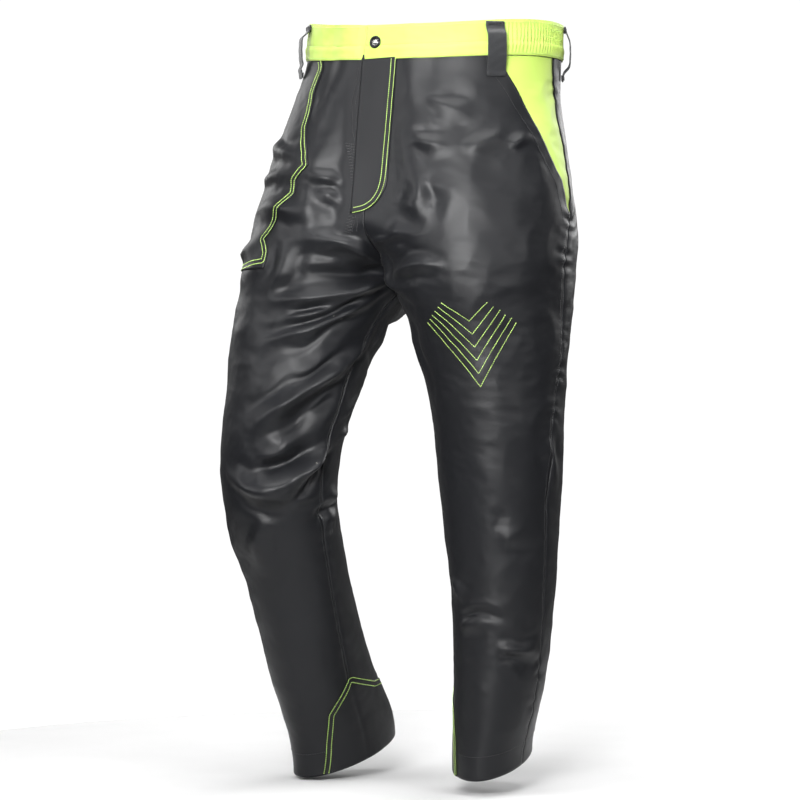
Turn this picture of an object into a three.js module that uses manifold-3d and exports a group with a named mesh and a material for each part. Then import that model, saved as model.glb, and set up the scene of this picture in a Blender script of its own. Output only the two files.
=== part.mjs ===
// Chainsaw protective trousers, standing as worn: waist edge at the top, both legs hanging, right knee bent.
// Millimetres, +Z up, the front faces -Y, the wearer's left side is +X.
// The origin is the centre of the waist edge.
import * as THREE from "three";
import Module from "manifold-3d";
import { mergeVertices } from "three/addons/utils/BufferGeometryUtils.js";

const wasm = await Module();
wasm.setup();

// ---- Overall sizes ----
const HEIGHT = 1000; // waist edge down to the middle of the hems
const WAIST_WIDTH = 364; // side to side at the waist edge
const CROTCH = 0.345; // crotch depth below the waist edge, as a share of HEIGHT

// ---- Layers, measured outward from the face of the outer cloth ----
const FIT = 0.3; // clearance between pieces that lie on each other
const CLOTH = 1.5; // outer cloth
const BACKING = 1.2; // facings, hems and patches
const BAG = 1.0; // pocket bags and lining
const PAD = 6.0; // cut-protection pad, all its fibre layers together
const BAND = 2.0; // waistband outer strip
const PAD_TOP_LAYER = -(CLOTH + FIT);
const LINING_LAYER = PAD_TOP_LAYER - PAD - FIT;

// ---- Trims ----
const BAND_HEIGHT = 50;
const BAND_OVERLAP = 8; // how far the outer cloth runs up under the waistband
const BAND_END = 5; // degrees the left band end reaches past the centre
const UNDERLAP = 7.8; // degrees the right band runs on under the left one
const LOOP_WIDTH = 25;
const LOOP_LENGTH = 74;
const LOOP_THICKNESS = 2;
const LOOP_SLOT = 7; // free depth behind a belt loop
const LOOP_CLEARANCE = 0.4; // under the sewn ends of a loop
const LOOP_ANGLES = { front_left: 53, front_right: -53, side_left: 112, side_right: -112, back: 180 };
const BUTTON_RADIUS = 8.5;
const BUTTON_DROP = 24; // button centre below the waist edge, measured down the front
const FLY_LENGTH = 218;
const FLY_FREE_EDGE = -21; // placket edge, measured across from the centre
const FLY_STITCHED_EDGE = 33;
const FLY_SLOT = 8; // half the gap between the two fronts behind the placket
const FLY_TILT = 32 / 237; // how much the fly line leans forward on its way down
const FLY_FLAT = 36; // half width of the flat area at the fly
const FLY_BLEND = 82; // half width at which the flat has run out into the curve of the body
const FLY_FADE = 50; // length over which the flat runs out below the fly
const ZIP_LENGTH = 176;
const ZIP_TOP = BAND_HEIGHT + 16; // top of the zip chain below the waist edge, measured down the fly
const ZIP_PITCH = 5.5;
const SLIDER_LENGTH = 12;
const POCKET_AT = 242; // angle of the middle of the back pocket
const POCKET_HALF_WIDTH = 56;
const POCKET_TOP = 118;
const POCKET_DEPTH = 140;
const FLAP_TOP = 106;
const FLAP_LENGTH = 44;
const TURN_UP = 36; // hem turn-up
const PAD_ABOVE_HEM = 50;

// ---- Rings of the body, from the waist edge to the crotch ----
// down: share of HEIGHT; out: how far each side's ring centre lies from the middle;
// wide, front, behind: half sizes of that ring; back: shift of the centre backward;
// twist: how far the left side trails the right, per mm across.
const BODY_RINGS = [
  { down: 0.0, out: 0, wide: 182, front: 139, behind: 139, back: 0, twist: 0.0 },
  { down: 0.05, out: 0, wide: 184, front: 139, behind: 141, back: -6, twist: 0.0 },
  { down: 0.106, out: 10, wide: 177, front: 136, behind: 147, back: -21, twist: 0.04 },
  { down: 0.171, out: 34, wide: 167, front: 130, behind: 152, back: -41, twist: 0.08 },
  { down: 0.237, out: 62, wide: 151, front: 131, behind: 150, back: -53, twist: 0.1 },
  { down: 0.3, out: 92, wide: 130, front: 124, behind: 136, back: -65, twist: 0.12 },
  { down: CROTCH, out: 112, wide: 112, front: 114, behind: 120, back: -78, twist: 0.14 },
];

// ---- Rings of each leg, from the crotch to the hem ----
// toe: degrees the ring is turned toe outward; slope: rise of the ring plane toward its back.
const LEG_RINGS = {
  left: [
    { down: CROTCH, out: 112, back: -62, wide: 112, front: 114, behind: 120, toe: 0, slope: 0.0 },
    { down: 0.42, out: 123, back: -58, wide: 100, front: 99, behind: 103, toe: 2, slope: 0.0 },
    { down: 0.495, out: 129, back: -56, wide: 90, front: 91, behind: 94, toe: 5, slope: 0.0 },
    { down: 0.625, out: 135, back: -52, wide: 80, front: 80, behind: 82, toe: 9, slope: 0.03 },
    { down: 0.755, out: 138, back: -49, wide: 69, front: 71, behind: 73, toe: 12, slope: 0.1 },
    { down: 0.885, out: 130, back: -45, wide: 59, front: 76, behind: 76, toe: 15, slope: 0.2 },
    { down: 0.985, out: 118, back: -44, wide: 50, front: 82, behind: 82, toe: 17, slope: 0.27 },
  ],
  right: [
    { down: CROTCH, out: 112, back: -94, wide: 112, front: 114, behind: 120, toe: 0, slope: 0.0 },
    { down: 0.42, out: 126, back: -122, wide: 98, front: 98, behind: 103, toe: 2, slope: 0.0 },
    { down: 0.495, out: 135, back: -144, wide: 89, front: 89, behind: 92, toe: 5, slope: 0.0 },
    { down: 0.6, out: 144, back: -164, wide: 79, front: 79, behind: 81, toe: 8, slope: 0.04 },
    { down: 0.64, out: 145, back: -160, wide: 76, front: 76, behind: 78, toe: 9, slope: 0.08 },
    { down: 0.755, out: 144, back: -120, wide: 67, front: 70, behind: 71, toe: 12, slope: 0.18 },
    { down: 0.885, out: 138, back: -70, wide: 57, front: 74, behind: 74, toe: 15, slope: 0.28 },
    { down: 0.995, out: 132, back: -26, wide: 49, front: 80, behind: 80, toe: 17, slope: 0.36 },
  ],
};

// ---- Seams, as angles round the leg: 0 at the inseam, 90 at the front, 180 at the outside ----
const SIDE_SEAM = [
  { down: 0.05, at: 184 },
  { down: 0.12, at: 193 },
  { down: 0.19, at: 198 },
  { down: 0.27, at: 190 },
  { down: 0.32, at: 185 },
  { down: 0.43, at: 185 },
  { down: 0.49, at: 179 },
  { down: 0.58, at: 167 },
  { down: 0.66, at: 162 },
  { down: 1.0, at: 160 },
];
const POCKET_MOUTH = [
  { down: 0.05, at: 147 },
  { down: 0.11, at: 159 },
  { down: 0.15, at: 167 },
  { down: 0.19, at: 175 },
  { down: 0.23, at: 184 },
  { down: 0.275, at: 189 },
];
const POCKET_BOTTOM = 285;
const POCKET_BAG_FORWARD = 72; // how far the pocket bag reaches forward of the mouth
const FACING_FORWARD = 28;
// Front edge of the hip patch on the right leg, top to bottom, then its lower edge to the side seam.
const HIP_PATCH_EDGE = [
  { down: 0.06, at: 124 },
  { down: 0.098, at: 124 },
  { down: 0.145, at: 119 },
  { down: 0.18, at: 110 },
  { down: 0.201, at: 105 },
  { down: 0.219, at: 110 },
  { down: 0.237, at: 107 },
  { down: 0.285, at: 113 },
  { down: 0.297, at: 117 },
  { down: 0.315, at: 108 },
  { down: 0.327, at: 106 },
  { down: 0.337, at: 145 },
  { down: 0.337, at: 172 },
];
// Inner ankle patch: its front edge from the top of the patch to the hem.
const ANKLE_PATCH_EDGE = [
  { up: 112, at: -2 },
  { up: 78, at: 30 },
  { up: 40, at: 40 },
  { up: -30, at: 46 },
];
const ANKLE_PATCH_BACK = -72;

// ---- Mesh steps ----
const FRONT_STEPS = 10;
const BACK_STEPS = 8;
const BODY_LEVELS = [
  BAND_HEIGHT - BAND_OVERLAP, BAND_HEIGHT + 2 * FIT, 86, 122, 158, 194, 228, 262, 288, 316,
];
const LEG_STEPS = 11;

const SIDES = { left: 1, right: -1 };
const RAD = Math.PI / 180;
const girth = WAIST_WIDTH / 364;
const mix = (a, b, t) => a + (b - a) * t;
const clamp01 = (t) => Math.min(1, Math.max(0, t));
const ease = (t) => clamp01(t) * clamp01(t) * (3 - 2 * clamp01(t));

// Smooth value of a column of a table at one height, never overshooting its neighbours.
function curve(table, column, key, where) {
  const last = table.length - 1;
  if (where <= table[0][key]) return table[0][column];
  if (where >= table[last][key]) return table[last][column];
  let i = 0;
  while (table[i + 1][key] < where) i++;
  const slopeAt = (n) => {
    if (n <= 0 || n >= last) return 0;
    const before = (table[n][column] - table[n - 1][column]) / (table[n][key] - table[n - 1][key]);
    const after = (table[n + 1][column] - table[n][column]) / (table[n + 1][key] - table[n][key]);
    return before * after <= 0 ? 0 : (2 * before * after) / (before + after);
  };
  const step = table[i + 1][key] - table[i][key];
  const t = (where - table[i][key]) / step;
  const [a, b] = [table[i][column], table[i + 1][column]];
  const [da, db] = [slopeAt(i) * step, slopeAt(i + 1) * step];
  return (
    (2 * t ** 3 - 3 * t ** 2 + 1) * a + (t ** 3 - 2 * t ** 2 + t) * da +
    (3 * t ** 2 - 2 * t ** 3) * b + (t ** 3 - t ** 2) * db
  );
}

const hemDepth = (side) => LEG_RINGS[side][LEG_RINGS[side].length - 1].down * HEIGHT;
const crotchDepth = CROTCH * HEIGHT;
const sideSeam = (depth) => curve(SIDE_SEAM, "at", "down", depth / HEIGHT);
const pocketMouth = (depth) => curve(POCKET_MOUTH, "at", "down", depth / HEIGHT);

// The ring of one side at a depth below the waist edge.
function ring(side, depth) {
  const down = depth / HEIGHT;
  const inBody = depth <= crotchDepth;
  const table = inBody ? BODY_RINGS : LEG_RINGS[side];
  const get = (name) => curve(table, name, "down", down);
  const r = {
    out: get("out") * girth,
    wide: get("wide") * girth,
    front: get("front") * girth,
    behind: get("behind") * girth,
    back: get("back") * girth,
    twist: inBody ? get("twist") : 0.14 * clamp01(1 - (depth - crotchDepth) / 200),
    toe: inBody ? 0 : get("toe") * RAD,
    slope: inBody ? 0 : get("slope"),
    inBody,
  };
  r.start = inBody ? Math.acos(clamp01(r.out / r.wide)) / RAD : 0; // angle at which the ring meets the middle
  return r;
}

const flyFlatEnd = FLY_LENGTH + BAND_HEIGHT + 2;

// The y of the flat fly area at a height.
const flyY = (z) => -139 * girth + z * FLY_TILT;

// A point of the cloth face: side, depth below the waist edge, angle round the leg in degrees.
function face(side, depth, angle) {
  const s = SIDES[side];
  const r = ring(side, depth);
  const c = Math.cos(angle * RAD);
  const n = Math.sin(angle * RAD);
  const across = -r.wide * c;
  const along = -(n > 0 ? r.front : r.behind) * n;
  if (!r.inBody) {
    const x = across * Math.cos(r.toe) - along * Math.sin(r.toe);
    const y = across * Math.sin(r.toe) + along * Math.cos(r.toe);
    return new THREE.Vector3(s * (r.out + x), r.back + y + r.twist * s * x, -depth + r.slope * y);
  }
  const x = s * (r.out + across);
  let y = r.back + along + r.twist * x;
  // The front and the left side of the waist edge sit lower; this fades out below the hips.
  const dip = (16 * Math.max(0, n) ** 2 + 0.05 * x) * clamp01(1 - depth / 200);
  const z = -depth - dip;
  if (n > 0) {
    const flat = 1 - ease((Math.abs(x) / girth - FLY_FLAT) / (FLY_BLEND - FLY_FLAT));
    y = mix(y, flyY(z), flat * (1 - ease((depth - flyFlatEnd) / FLY_FADE)));
  }
  return new THREE.Vector3(x, y, z);
}

// The same point moved outward, square to the cloth, by a distance (negative is toward the wearer).
function skin(side, depth, angle, outward) {
  const step = depth > crotchDepth + 2 || depth < 2 ? 1 : -1;
  const other = Math.min(depth + step, hemDepth(side)) === depth ? depth - 1 : depth + step;
  const here = face(side, depth, angle);
  const round = face(side, depth, angle + 0.5).sub(face(side, depth, angle - 0.5));
  const down = face(side, other, angle).sub(here).multiplyScalar(Math.sign(other - depth));
  const normal = round.cross(down).normalize().multiplyScalar(-SIDES[side]);
  const p = here.addScaledVector(normal, outward);
  if (SIDES[side] * p.x < FIT / 2 && depth <= crotchDepth + 60) p.x = (SIDES[side] * FIT) / 2;
  return p;
}

// A closed solid from points and triangles, turned to face out.
function solid(points, triangles) {
  const vertProperties = new Float32Array(points.flatMap((p) => [p.x, p.y, p.z]));
  const make = (list) =>
    new wasm.Manifold(new wasm.Mesh({ numProp: 3, vertProperties, triVerts: new Uint32Array(list) }));
  const made = make(triangles);
  if (made.volume() > 0) return made;
  const turned = [];
  for (let i = 0; i < triangles.length; i += 3) turned.push(triangles[i], triangles[i + 2], triangles[i + 1]);
  return make(turned);
}

// A sheet of even thickness: point(row, column, outward) gives its two faces.
function sheet(rows, columns, outer, inner, point) {
  const points = [];
  for (const outward of [outer, inner]) {
    for (let i = 0; i < rows; i++) {
      for (let j = 0; j < columns; j++) points.push(point(i, j, outward));
    }
  }
  const at = (i, j, back) => (back ? rows * columns : 0) + i * columns + j;
  const triangles = [];
  const quad = (a, b, c, d) => triangles.push(a, b, c, a, c, d);
  for (let i = 0; i + 1 < rows; i++) {
    for (let j = 0; j + 1 < columns; j++) {
      quad(at(i, j, false), at(i, j + 1, false), at(i + 1, j + 1, false), at(i + 1, j, false));
      quad(at(i, j, true), at(i + 1, j, true), at(i + 1, j + 1, true), at(i, j + 1, true));
    }
  }
  for (let i = 0; i + 1 < rows; i++) {
    quad(at(i, 0, false), at(i + 1, 0, false), at(i + 1, 0, true), at(i, 0, true));
    const end = columns - 1;
    quad(at(i, end, false), at(i, end, true), at(i + 1, end, true), at(i + 1, end, false));
  }
  for (let j = 0; j + 1 < columns; j++) {
    quad(at(0, j, false), at(0, j, true), at(0, j + 1, true), at(0, j + 1, false));
    const foot = rows - 1;
    quad(at(foot, j, false), at(foot, j + 1, false), at(foot, j + 1, true), at(foot, j, true));
  }
  return solid(points, triangles);
}

// Depths of the mesh rows of one leg, from a top depth to a height above the hem.
function levels(side, top, aboveHem) {
  const hem = hemDepth(side);
  const all = [...BODY_LEVELS, crotchDepth];
  for (let k = 1; k <= LEG_STEPS; k++) all.push(mix(crotchDepth, hem - PAD_ABOVE_HEM, k / LEG_STEPS));
  all.push(hem - TURN_UP, hem);
  return all.filter((d) => d >= top - 0.01 && d <= hem - aboveHem + 0.01);
}

// Angles of the mesh columns of one leg at a depth.
function frontAngles(side, depth) {
  const r = ring(side, depth);
  const gap = FIT / 2 / (r.wide * RAD);
  const first = Math.max(r.start, gap);
  const last = sideSeam(depth) - gap;
  return Array.from({ length: FRONT_STEPS + 1 }, (_, j) => mix(first, last, j / FRONT_STEPS));
}
function backAngles(side, depth) {
  const r = ring(side, depth);
  const gap = FIT / 2 / (r.wide * RAD);
  const last = 360 - Math.max(r.start, gap);
  return Array.from({ length: BACK_STEPS + 1 }, (_, j) => mix(sideSeam(depth) + gap, last, j / BACK_STEPS));
}
const roundAngles = (side, depth) => [...frontAngles(side, depth), ...backAngles(side, depth).slice(1)];

// A layer of cloth that follows the leg between two depths.
function layer(side, anglesAt, top, aboveHem, outer, inner) {
  const depths = levels(side, top, aboveHem);
  const angles = depths.map((d) => anglesAt(side, d));
  const point = (i, j, outward) => skin(side, depths[i], angles[i][j], outward);
  return sheet(depths.length, angles[0].length, outer, inner, point);
}

// A straight-sided block seen square from a heading round the body; 0 is the front, 90 the wearer's left.
// The outline is in (across, height); the block reaches from near to far, measured out from the middle.
function block(heading, outline, near, far) {
  const shape = new THREE.Shape(outline.map(([u, z]) => new THREE.Vector2(u, z)));
  const geometry = new THREE.ExtrudeGeometry(shape, { depth: far - near, bevelEnabled: false });
  geometry.translate(0, 0, near);
  const a = heading * RAD;
  geometry.applyMatrix4(
    new THREE.Matrix4().makeBasis(
      new THREE.Vector3(Math.cos(a), Math.sin(a), 0),
      new THREE.Vector3(0, 0, 1),
      new THREE.Vector3(Math.sin(a), -Math.cos(a), 0),
    ),
  );
  return manifold(geometry);
}

function manifold(geometry) {
  const bare = new THREE.BufferGeometry();
  const loose = geometry.index ? geometry.toNonIndexed() : geometry;
  bare.setAttribute("position", loose.getAttribute("position"));
  const merged = mergeVertices(bare, 1e-3);
  const p = merged.getAttribute("position");
  const points = Array.from({ length: p.count }, (_, i) => new THREE.Vector3().fromBufferAttribute(p, i));
  return solid(points, Array.from(merged.index.array));
}

const box = (x0, x1, z0, z1) => [[x0, z0], [x1, z0], [x1, z1], [x0, z1]];
const seenFrom = (heading, p) => [p.x * Math.cos(heading * RAD) + p.y * Math.sin(heading * RAD), p.z];

// The biggest body left by a cut.
const largest = (body) => body.decompose().reduce((a, b) => (b.volume() > a.volume() ? b : a));

const group = new THREE.Group();
group.name = "chainsaw_trousers";

// ---- Materials ----
const finish = (color, roughness, metalness) =>
  new THREE.MeshStandardMaterial({ color, roughness, metalness });
const BLACK = finish(0x2b2d31, 0.45, 0);
const LIME = finish(0xd9f95e, 0.6, 0);
const WEBBING = finish(0x17181a, 0.8, 0);
const PAD_FIBRE = finish(0xe9e6da, 0.9, 0);
const LINING_MESH = finish(0x3b3d40, 0.85, 0);
const BAG_CLOTH = finish(0x6c6e70, 0.9, 0);
const ELASTIC = finish(0xf0f0ea, 0.9, 0);
const DARK_METAL = finish(0x1e1f21, 0.35, 0.9);
const BRIGHT_METAL = finish(0xb9bcc0, 0.3, 1);

function add(name, body, material) {
  const { vertProperties, triVerts, numProp } = body.getMesh();
  const geometry = new THREE.BufferGeometry();
  const xyz = new Float32Array((vertProperties.length / numProp) * 3);
  for (let i = 0; i < xyz.length / 3; i++) {
    for (let k = 0; k < 3; k++) xyz[3 * i + k] = vertProperties[numProp * i + k];
  }
  geometry.setAttribute("position", new THREE.BufferAttribute(xyz, 3));
  geometry.setIndex(new THREE.BufferAttribute(new Uint32Array(triVerts), 1));
  geometry.computeVertexNormals();
  const mesh = new THREE.Mesh(geometry, material);
  mesh.name = name;
  group.add(mesh);
}

// ---- Fly opening: the gap between the two fronts, with a notch above it for the band underlap ----
const flyTop = -BAND_HEIGHT - 14; // clears the front of the band, which hangs low
const flyBottom = -FLY_LENGTH - BAND_HEIGHT;
const flySlot = block(0, box(-FLY_SLOT, FLY_SLOT, flyBottom + 12, 20), 60, 320).add(
  block(0, box(-34 * girth, 30 * girth, flyTop, 20), 60, 320),
);

// ---- Legs: outer cloth, hems, cut pads and lining ----
for (const side of ["left", "right"]) {
  const s = SIDES[side];
  const pocketHeading = s * 75;
  const edge = Array.from({ length: 12 }, (_, i) => {
    const depth = mix(BAND_HEIGHT - BAND_OVERLAP - 12, POCKET_BOTTOM - 8, i / 11);
    return seenFrom(pocketHeading, skin(side, depth, pocketMouth(depth), 0));
  });
  const beyond = s * 320;
  const mouthRegion = (shift) => [
    ...edge.map(([u, z]) => [u - s * shift, z]),
    [beyond, edge[11][1] - 12],
    [beyond, edge[0][1]],
  ];
  const mouth = block(pocketHeading, mouthRegion(0), 60, 320);

  const front = layer(side, frontAngles, 0, 0, 0, -CLOTH);
  add("front_panel_" + side, front.subtract(mouth).subtract(flySlot), BLACK);
  add("back_panel_" + side, layer(side, backAngles, 0, 0, 0, -CLOTH), BLACK);

  const pocketFoot = hemDepth(side) - POCKET_BOTTOM - 3;
  const backed = -CLOTH - FIT;
  const facing = layer(side, frontAngles, BAND_HEIGHT, pocketFoot, backed, backed - BACKING);
  const facingZone = block(pocketHeading, mouthRegion(FACING_FORWARD), 60, 320);
  add("pocket_facing_" + side, facing.intersect(facingZone), LIME);

  const bagTop = -CLOTH - BACKING - 2 * FIT;
  const bag = layer(side, frontAngles, BAND_HEIGHT, pocketFoot, bagTop, bagTop - BAG);
  const bagRegion = block(pocketHeading, mouthRegion(POCKET_BAG_FORWARD), 60, 320);
  add("pocket_bag_" + side, bag.intersect(bagRegion), BAG_CLOTH);

  const hem = layer(side, roundAngles, hemDepth(side) - TURN_UP, 0, backed, backed - BACKING);
  add("hem_" + side, hem, BLACK);

  // The pad stops beside the fly and in front of the pocket bag, and clears the turn-up.
  const padColumns = (which, depth) => frontAngles(which, depth).slice(1, FRONT_STEPS);
  const clearOfBag = mouthRegion(POCKET_BAG_FORWARD + 4).map(([u, z]) => [u, z - 8]);
  const bagZone = block(pocketHeading, clearOfBag, 60, 320);
  const flyZone = block(0, box(-40, 40, flyBottom - 6, 20), 60, 320);
  const pad = layer(side, padColumns, 140, PAD_ABOVE_HEM, PAD_TOP_LAYER, PAD_TOP_LAYER - PAD);
  add("cut_pad_" + side, pad.subtract(bagZone).subtract(flyZone), PAD_FIBRE);

  const lining = layer(side, roundAngles, BAND_HEIGHT, PAD_ABOVE_HEM, LINING_LAYER, LINING_LAYER - BAG);
  const liningSlit = block(0, box(side === "left" ? -2 : -12, 30, flyBottom - 2, 20), 60, 320);
  add("lining_" + side, lining.subtract(liningSlit), LINING_MESH);
}

// ---- Hip patch on the right leg ----
{
  const heading = -57;
  const top = { down: (BAND_HEIGHT + 2 * FIT) / HEIGHT, at: 126 };
  const onThigh = (down, at) => seenFrom(heading, face("right", down * HEIGHT, at));
  const points = [top, ...HIP_PATCH_EDGE].map(({ down, at }) => onThigh(down, at));
  const seam = [0.3, 0.24, 0.18, 0.12, (BAND_HEIGHT + 2 * FIT) / HEIGHT].map((down) =>
    onThigh(down, Math.min(sideSeam(down * HEIGHT) - 6, pocketMouth(down * HEIGHT) - 4)),
  );
  const cloth = layer("right", frontAngles, BAND_HEIGHT, 600, FIT + BACKING, FIT);
  add("hip_patch_right", largest(cloth.intersect(block(heading, [...points, ...seam], 40, 340))), BLACK);
}

// ---- Inner ankle patches ----
for (const side of ["left", "right"]) {
  const s = SIDES[side];
  const hem = hemDepth(side);
  const heading = -90 * s;
  const centre = ring(side, hem - 60);
  const outline = [
    ...ANKLE_PATCH_EDGE.map(({ up, at }) => seenFrom(heading, face(side, Math.min(hem, hem - up), at))),
    ...[0, 112].map((up) => seenFrom(heading, face(side, hem - up, ANKLE_PATCH_BACK))),
  ];
  outline[3][1] -= 30;
  outline[4][1] -= 30;
  const innerAngles = (which, depth) => [
    ...backAngles(which, depth).slice(-6).map((angle) => angle - 360),
    ...frontAngles(which, depth).slice(0, 6),
  ];
  const cloth = layer(side, innerAngles, hem - 170, 0, FIT + BACKING, FIT);
  add("ankle_patch_" + side, largest(cloth.intersect(block(heading, outline, -centre.out + 8, 60))), BLACK);
}

// ---- Waistband: two outer strips that overlap in front, one lining strip and an elastic at each hip ----
// Angle round the waist: 0 at the front, positive toward the wearer's left, 180 at the back.
const waist = (depth, around, outward) =>
  skin(around >= 0 ? "left" : "right", depth, 90 + Math.abs(around), outward);

function strip(arounds, depths, outer, inner) {
  return sheet(depths.length, arounds.length, outer, inner, (i, j, outward) => {
    const shift = typeof outward === "function" ? outward(arounds[j]) : outward;
    return waist(depths[i], arounds[j], shift);
  });
}
const bandDepths = [0, BAND_HEIGHT / 2, BAND_HEIGHT - BAND_OVERLAP, BAND_HEIGHT];
const bandAngles = roundAngles("left", BAND_HEIGHT - BAND_OVERLAP).map((angle) => angle - 90);
const within = (from, to) => bandAngles.filter((a) => a >= from && a <= to);
const mirrored = (list) => list.map((a) => -a).reverse();
const buttonZ = -BUTTON_DROP - 16; // the front of the waist edge hangs 16 below its sides
const buttonhole = block(0, box(-2.6, 13, buttonZ - 2, buttonZ + 2), 60, 320);
const leftStrip = strip([-BAND_END, ...bandAngles], bandDepths, FIT + BAND, FIT);
add("waistband_left", leftStrip.subtract(buttonhole), LIME);

// The right strip steps in behind the left one over its last stretch.
const stepIn = (around) => ease((around + 10) / 4);
const underlapOuter = (around) => mix(FIT + BAND, 0, stepIn(around));
const underlapInner = (around) => mix(FIT, -CLOTH, stepIn(around));
const rightArounds = [...mirrored(within(12, 180)), -10, -9, -8, -7, -6, -3, -0.05, UNDERLAP];
const tackHole = block(0, box(-1.3, 1.3, buttonZ - 1.3, buttonZ + 1.3), 60, 320);
const rightStrip = strip(rightArounds, bandDepths, underlapOuter, underlapInner);
add("waistband_right", rightStrip.subtract(tackHole), LIME);

const liningArounds = [...within(4, 180), ...mirrored(within(4, 180))];
const bandLiningOuter = -CLOTH - 2 * FIT;
const bandLining = strip(liningArounds, bandDepths, bandLiningOuter, bandLiningOuter - BACKING);
add("waistband_lining", bandLining, LINING_MESH);
for (const side of ["left", "right"]) {
  const arounds = side === "left" ? within(60, 106) : mirrored(within(60, 106));
  add("waist_elastic_" + side, strip(arounds, [6, BAND_HEIGHT - BAND_OVERLAP - 1], -FIT, -CLOTH), ELASTIC);
}

// ---- Belt loops: straps seated on the band and on the cloth below it, with a flat raised middle ----
for (const [name, around] of Object.entries(LOOP_ANGLES)) {
  const out = waist(25, around, 1).sub(waist(25, around, 0)).setZ(0).normalize();
  const depthOf = (depth) => waist(depth, around, 0);
  const halfTurn = LOOP_WIDTH / 2 / (ring("left", 25).front * RAD);
  const off = (depth) =>
    Math.max(...[-halfTurn, 0, halfTurn].map((turn) => waist(depth, around + turn, 0).dot(out)));
  const top = depthOf(0).z - 2;
  const onBand = Math.max(off(2), off(10)) + FIT + BAND + LOOP_CLEARANCE;
  const patchUnder = name === "front_right" ? FIT + BACKING : 0; // this loop ends on the hip patch
  const onCloth = Math.max(off(62), off(70), off(78)) + patchUnder + LOOP_CLEARANCE;
  const middle = Math.max(off(0), off(50)) + FIT + BAND + LOOP_SLOT;
  const t = LOOP_THICKNESS;
  const profile = [
    [onBand + t, top], [onBand + t, top - 8], [middle + t, top - 18], [middle + t, top - 54],
    [onCloth + t, top - 65], [onCloth + t, top - LOOP_LENGTH], [onCloth, top - LOOP_LENGTH],
    [onCloth, top - 64], [middle, top - 53], [middle, top - 19], [onBand, top - 9], [onBand, top],
  ];
  const shape = new THREE.Shape(profile.map(([n, z]) => new THREE.Vector2(n, z)));
  const strap = new THREE.ExtrudeGeometry(shape, { depth: LOOP_WIDTH, bevelEnabled: false });
  strap.translate(0, 0, -LOOP_WIDTH / 2);
  const up = new THREE.Vector3(0, 0, 1);
  const sideways = out.clone().cross(up);
  const middlePoint = depthOf(25);
  const place = new THREE.Matrix4().makeBasis(out, up, sideways);
  const slide = sideways.clone().multiplyScalar(middlePoint.dot(sideways));
  strap.applyMatrix4(place).translate(slide.x, slide.y, 0);
  add("belt_loop_" + name, manifold(strap), WEBBING);
}

// ---- Fly kit: flat pieces laid out in (across, up the fly, outward) on the flat of the fly ----
const flyPlace = new THREE.Matrix4()
  .makeBasis(
    new THREE.Vector3(1, 0, 0),
    new THREE.Vector3(0, FLY_TILT, 1).normalize(),
    new THREE.Vector3(0, -1, FLY_TILT).normalize(),
  )
  .setPosition(0, flyY(0), 0);
const outlineShape = (outline) => new THREE.Shape(outline.map(([x, v]) => new THREE.Vector2(x, v)));
function flyPiece(shape, outer, inner) {
  const settings = { depth: outer - inner, bevelEnabled: false, curveSegments: 8 };
  const geometry = new THREE.ExtrudeGeometry(shape, settings);
  geometry.translate(0, 0, inner).applyMatrix4(flyPlace);
  return manifold(geometry);
}
const FACING_IN = 2.2; // facings lie a little deeper, clear of the curve of the fronts
const TAPE_IN = FACING_IN + BACKING + FIT;
const TAPE = 0.8;
const CHAIN_IN = TAPE_IN + TAPE / 2; // middle of the zip chain
const CHAIN_HALF = 1.2;
const PLATE = 1.0;
const SLIDER_TOP = CHAIN_IN - CHAIN_HALF - FIT - PLATE;
const SLIDER_BACK = CHAIN_IN + CHAIN_HALF + FIT + PLATE;

const plateTop = flyTop - FIT;
const placket = new THREE.Shape();
placket.moveTo(FLY_FREE_EDGE, plateTop);
placket.lineTo(FLY_FREE_EDGE, flyBottom);
placket.quadraticCurveTo(FLY_STITCHED_EDGE - 4, flyBottom + 2, FLY_STITCHED_EDGE - 2, flyBottom + 42);
placket.lineTo(FLY_STITCHED_EDGE, plateTop);
placket.closePath();
add("fly_placket", flyPiece(placket, FIT + BACKING, FIT), BLACK);

for (const side of ["left", "right"]) {
  const s = SIDES[side];
  const strip = (x0, x1, v0, v1, outer, inner) =>
    flyPiece(outlineShape(box(Math.min(s * x0, s * x1), Math.max(s * x0, s * x1), v0, v1)), outer, inner);
  const facing = strip(FLY_SLOT, 25, flyBottom + 14, plateTop - 1, -FACING_IN, -FACING_IN - BACKING);
  add("fly_facing_" + side, facing, BLACK);
  const tape = strip(4.2, 18, -ZIP_TOP - ZIP_LENGTH - 6, -ZIP_TOP, -TAPE_IN, -TAPE_IN - TAPE);
  add("zip_tape_" + side, tape, WEBBING);

  const teeth = [[3.9, -ZIP_TOP], [3.9, -ZIP_TOP - ZIP_LENGTH]];
  for (let v = -ZIP_TOP - ZIP_LENGTH; v < -ZIP_TOP - 0.01; v += ZIP_PITCH) {
    const half = Math.min(ZIP_PITCH / 2, -ZIP_TOP - v);
    teeth.push([2.4, v], [1.1, v + 0.4], [1.1, v + half - 0.4], [2.4, v + half]);
  }
  teeth.push([2.4, -ZIP_TOP]);
  const chain = outlineShape(teeth.map(([x, v]) => [s * x, v]));
  add("zip_teeth_" + side, flyPiece(chain, -CHAIN_IN + CHAIN_HALF, -CHAIN_IN - CHAIN_HALF), BRIGHT_METAL);
  const stopOuter = -CHAIN_IN + CHAIN_HALF + 0.3;
  const stop = strip(1.1, 3.9, -ZIP_TOP + FIT, -ZIP_TOP + 3, stopOuter, -CHAIN_IN - 1.5);
  add("zip_stop_top_" + side, stop, BRIGHT_METAL);
}
const stopTop = -ZIP_TOP - ZIP_LENGTH - FIT;
const stopPiece = outlineShape(box(-3.9, 3.9, stopTop - 3, stopTop));
add("zip_stop_bottom", flyPiece(stopPiece, -CHAIN_IN + 1.5, -CHAIN_IN - 1.5), BRIGHT_METAL);

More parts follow.
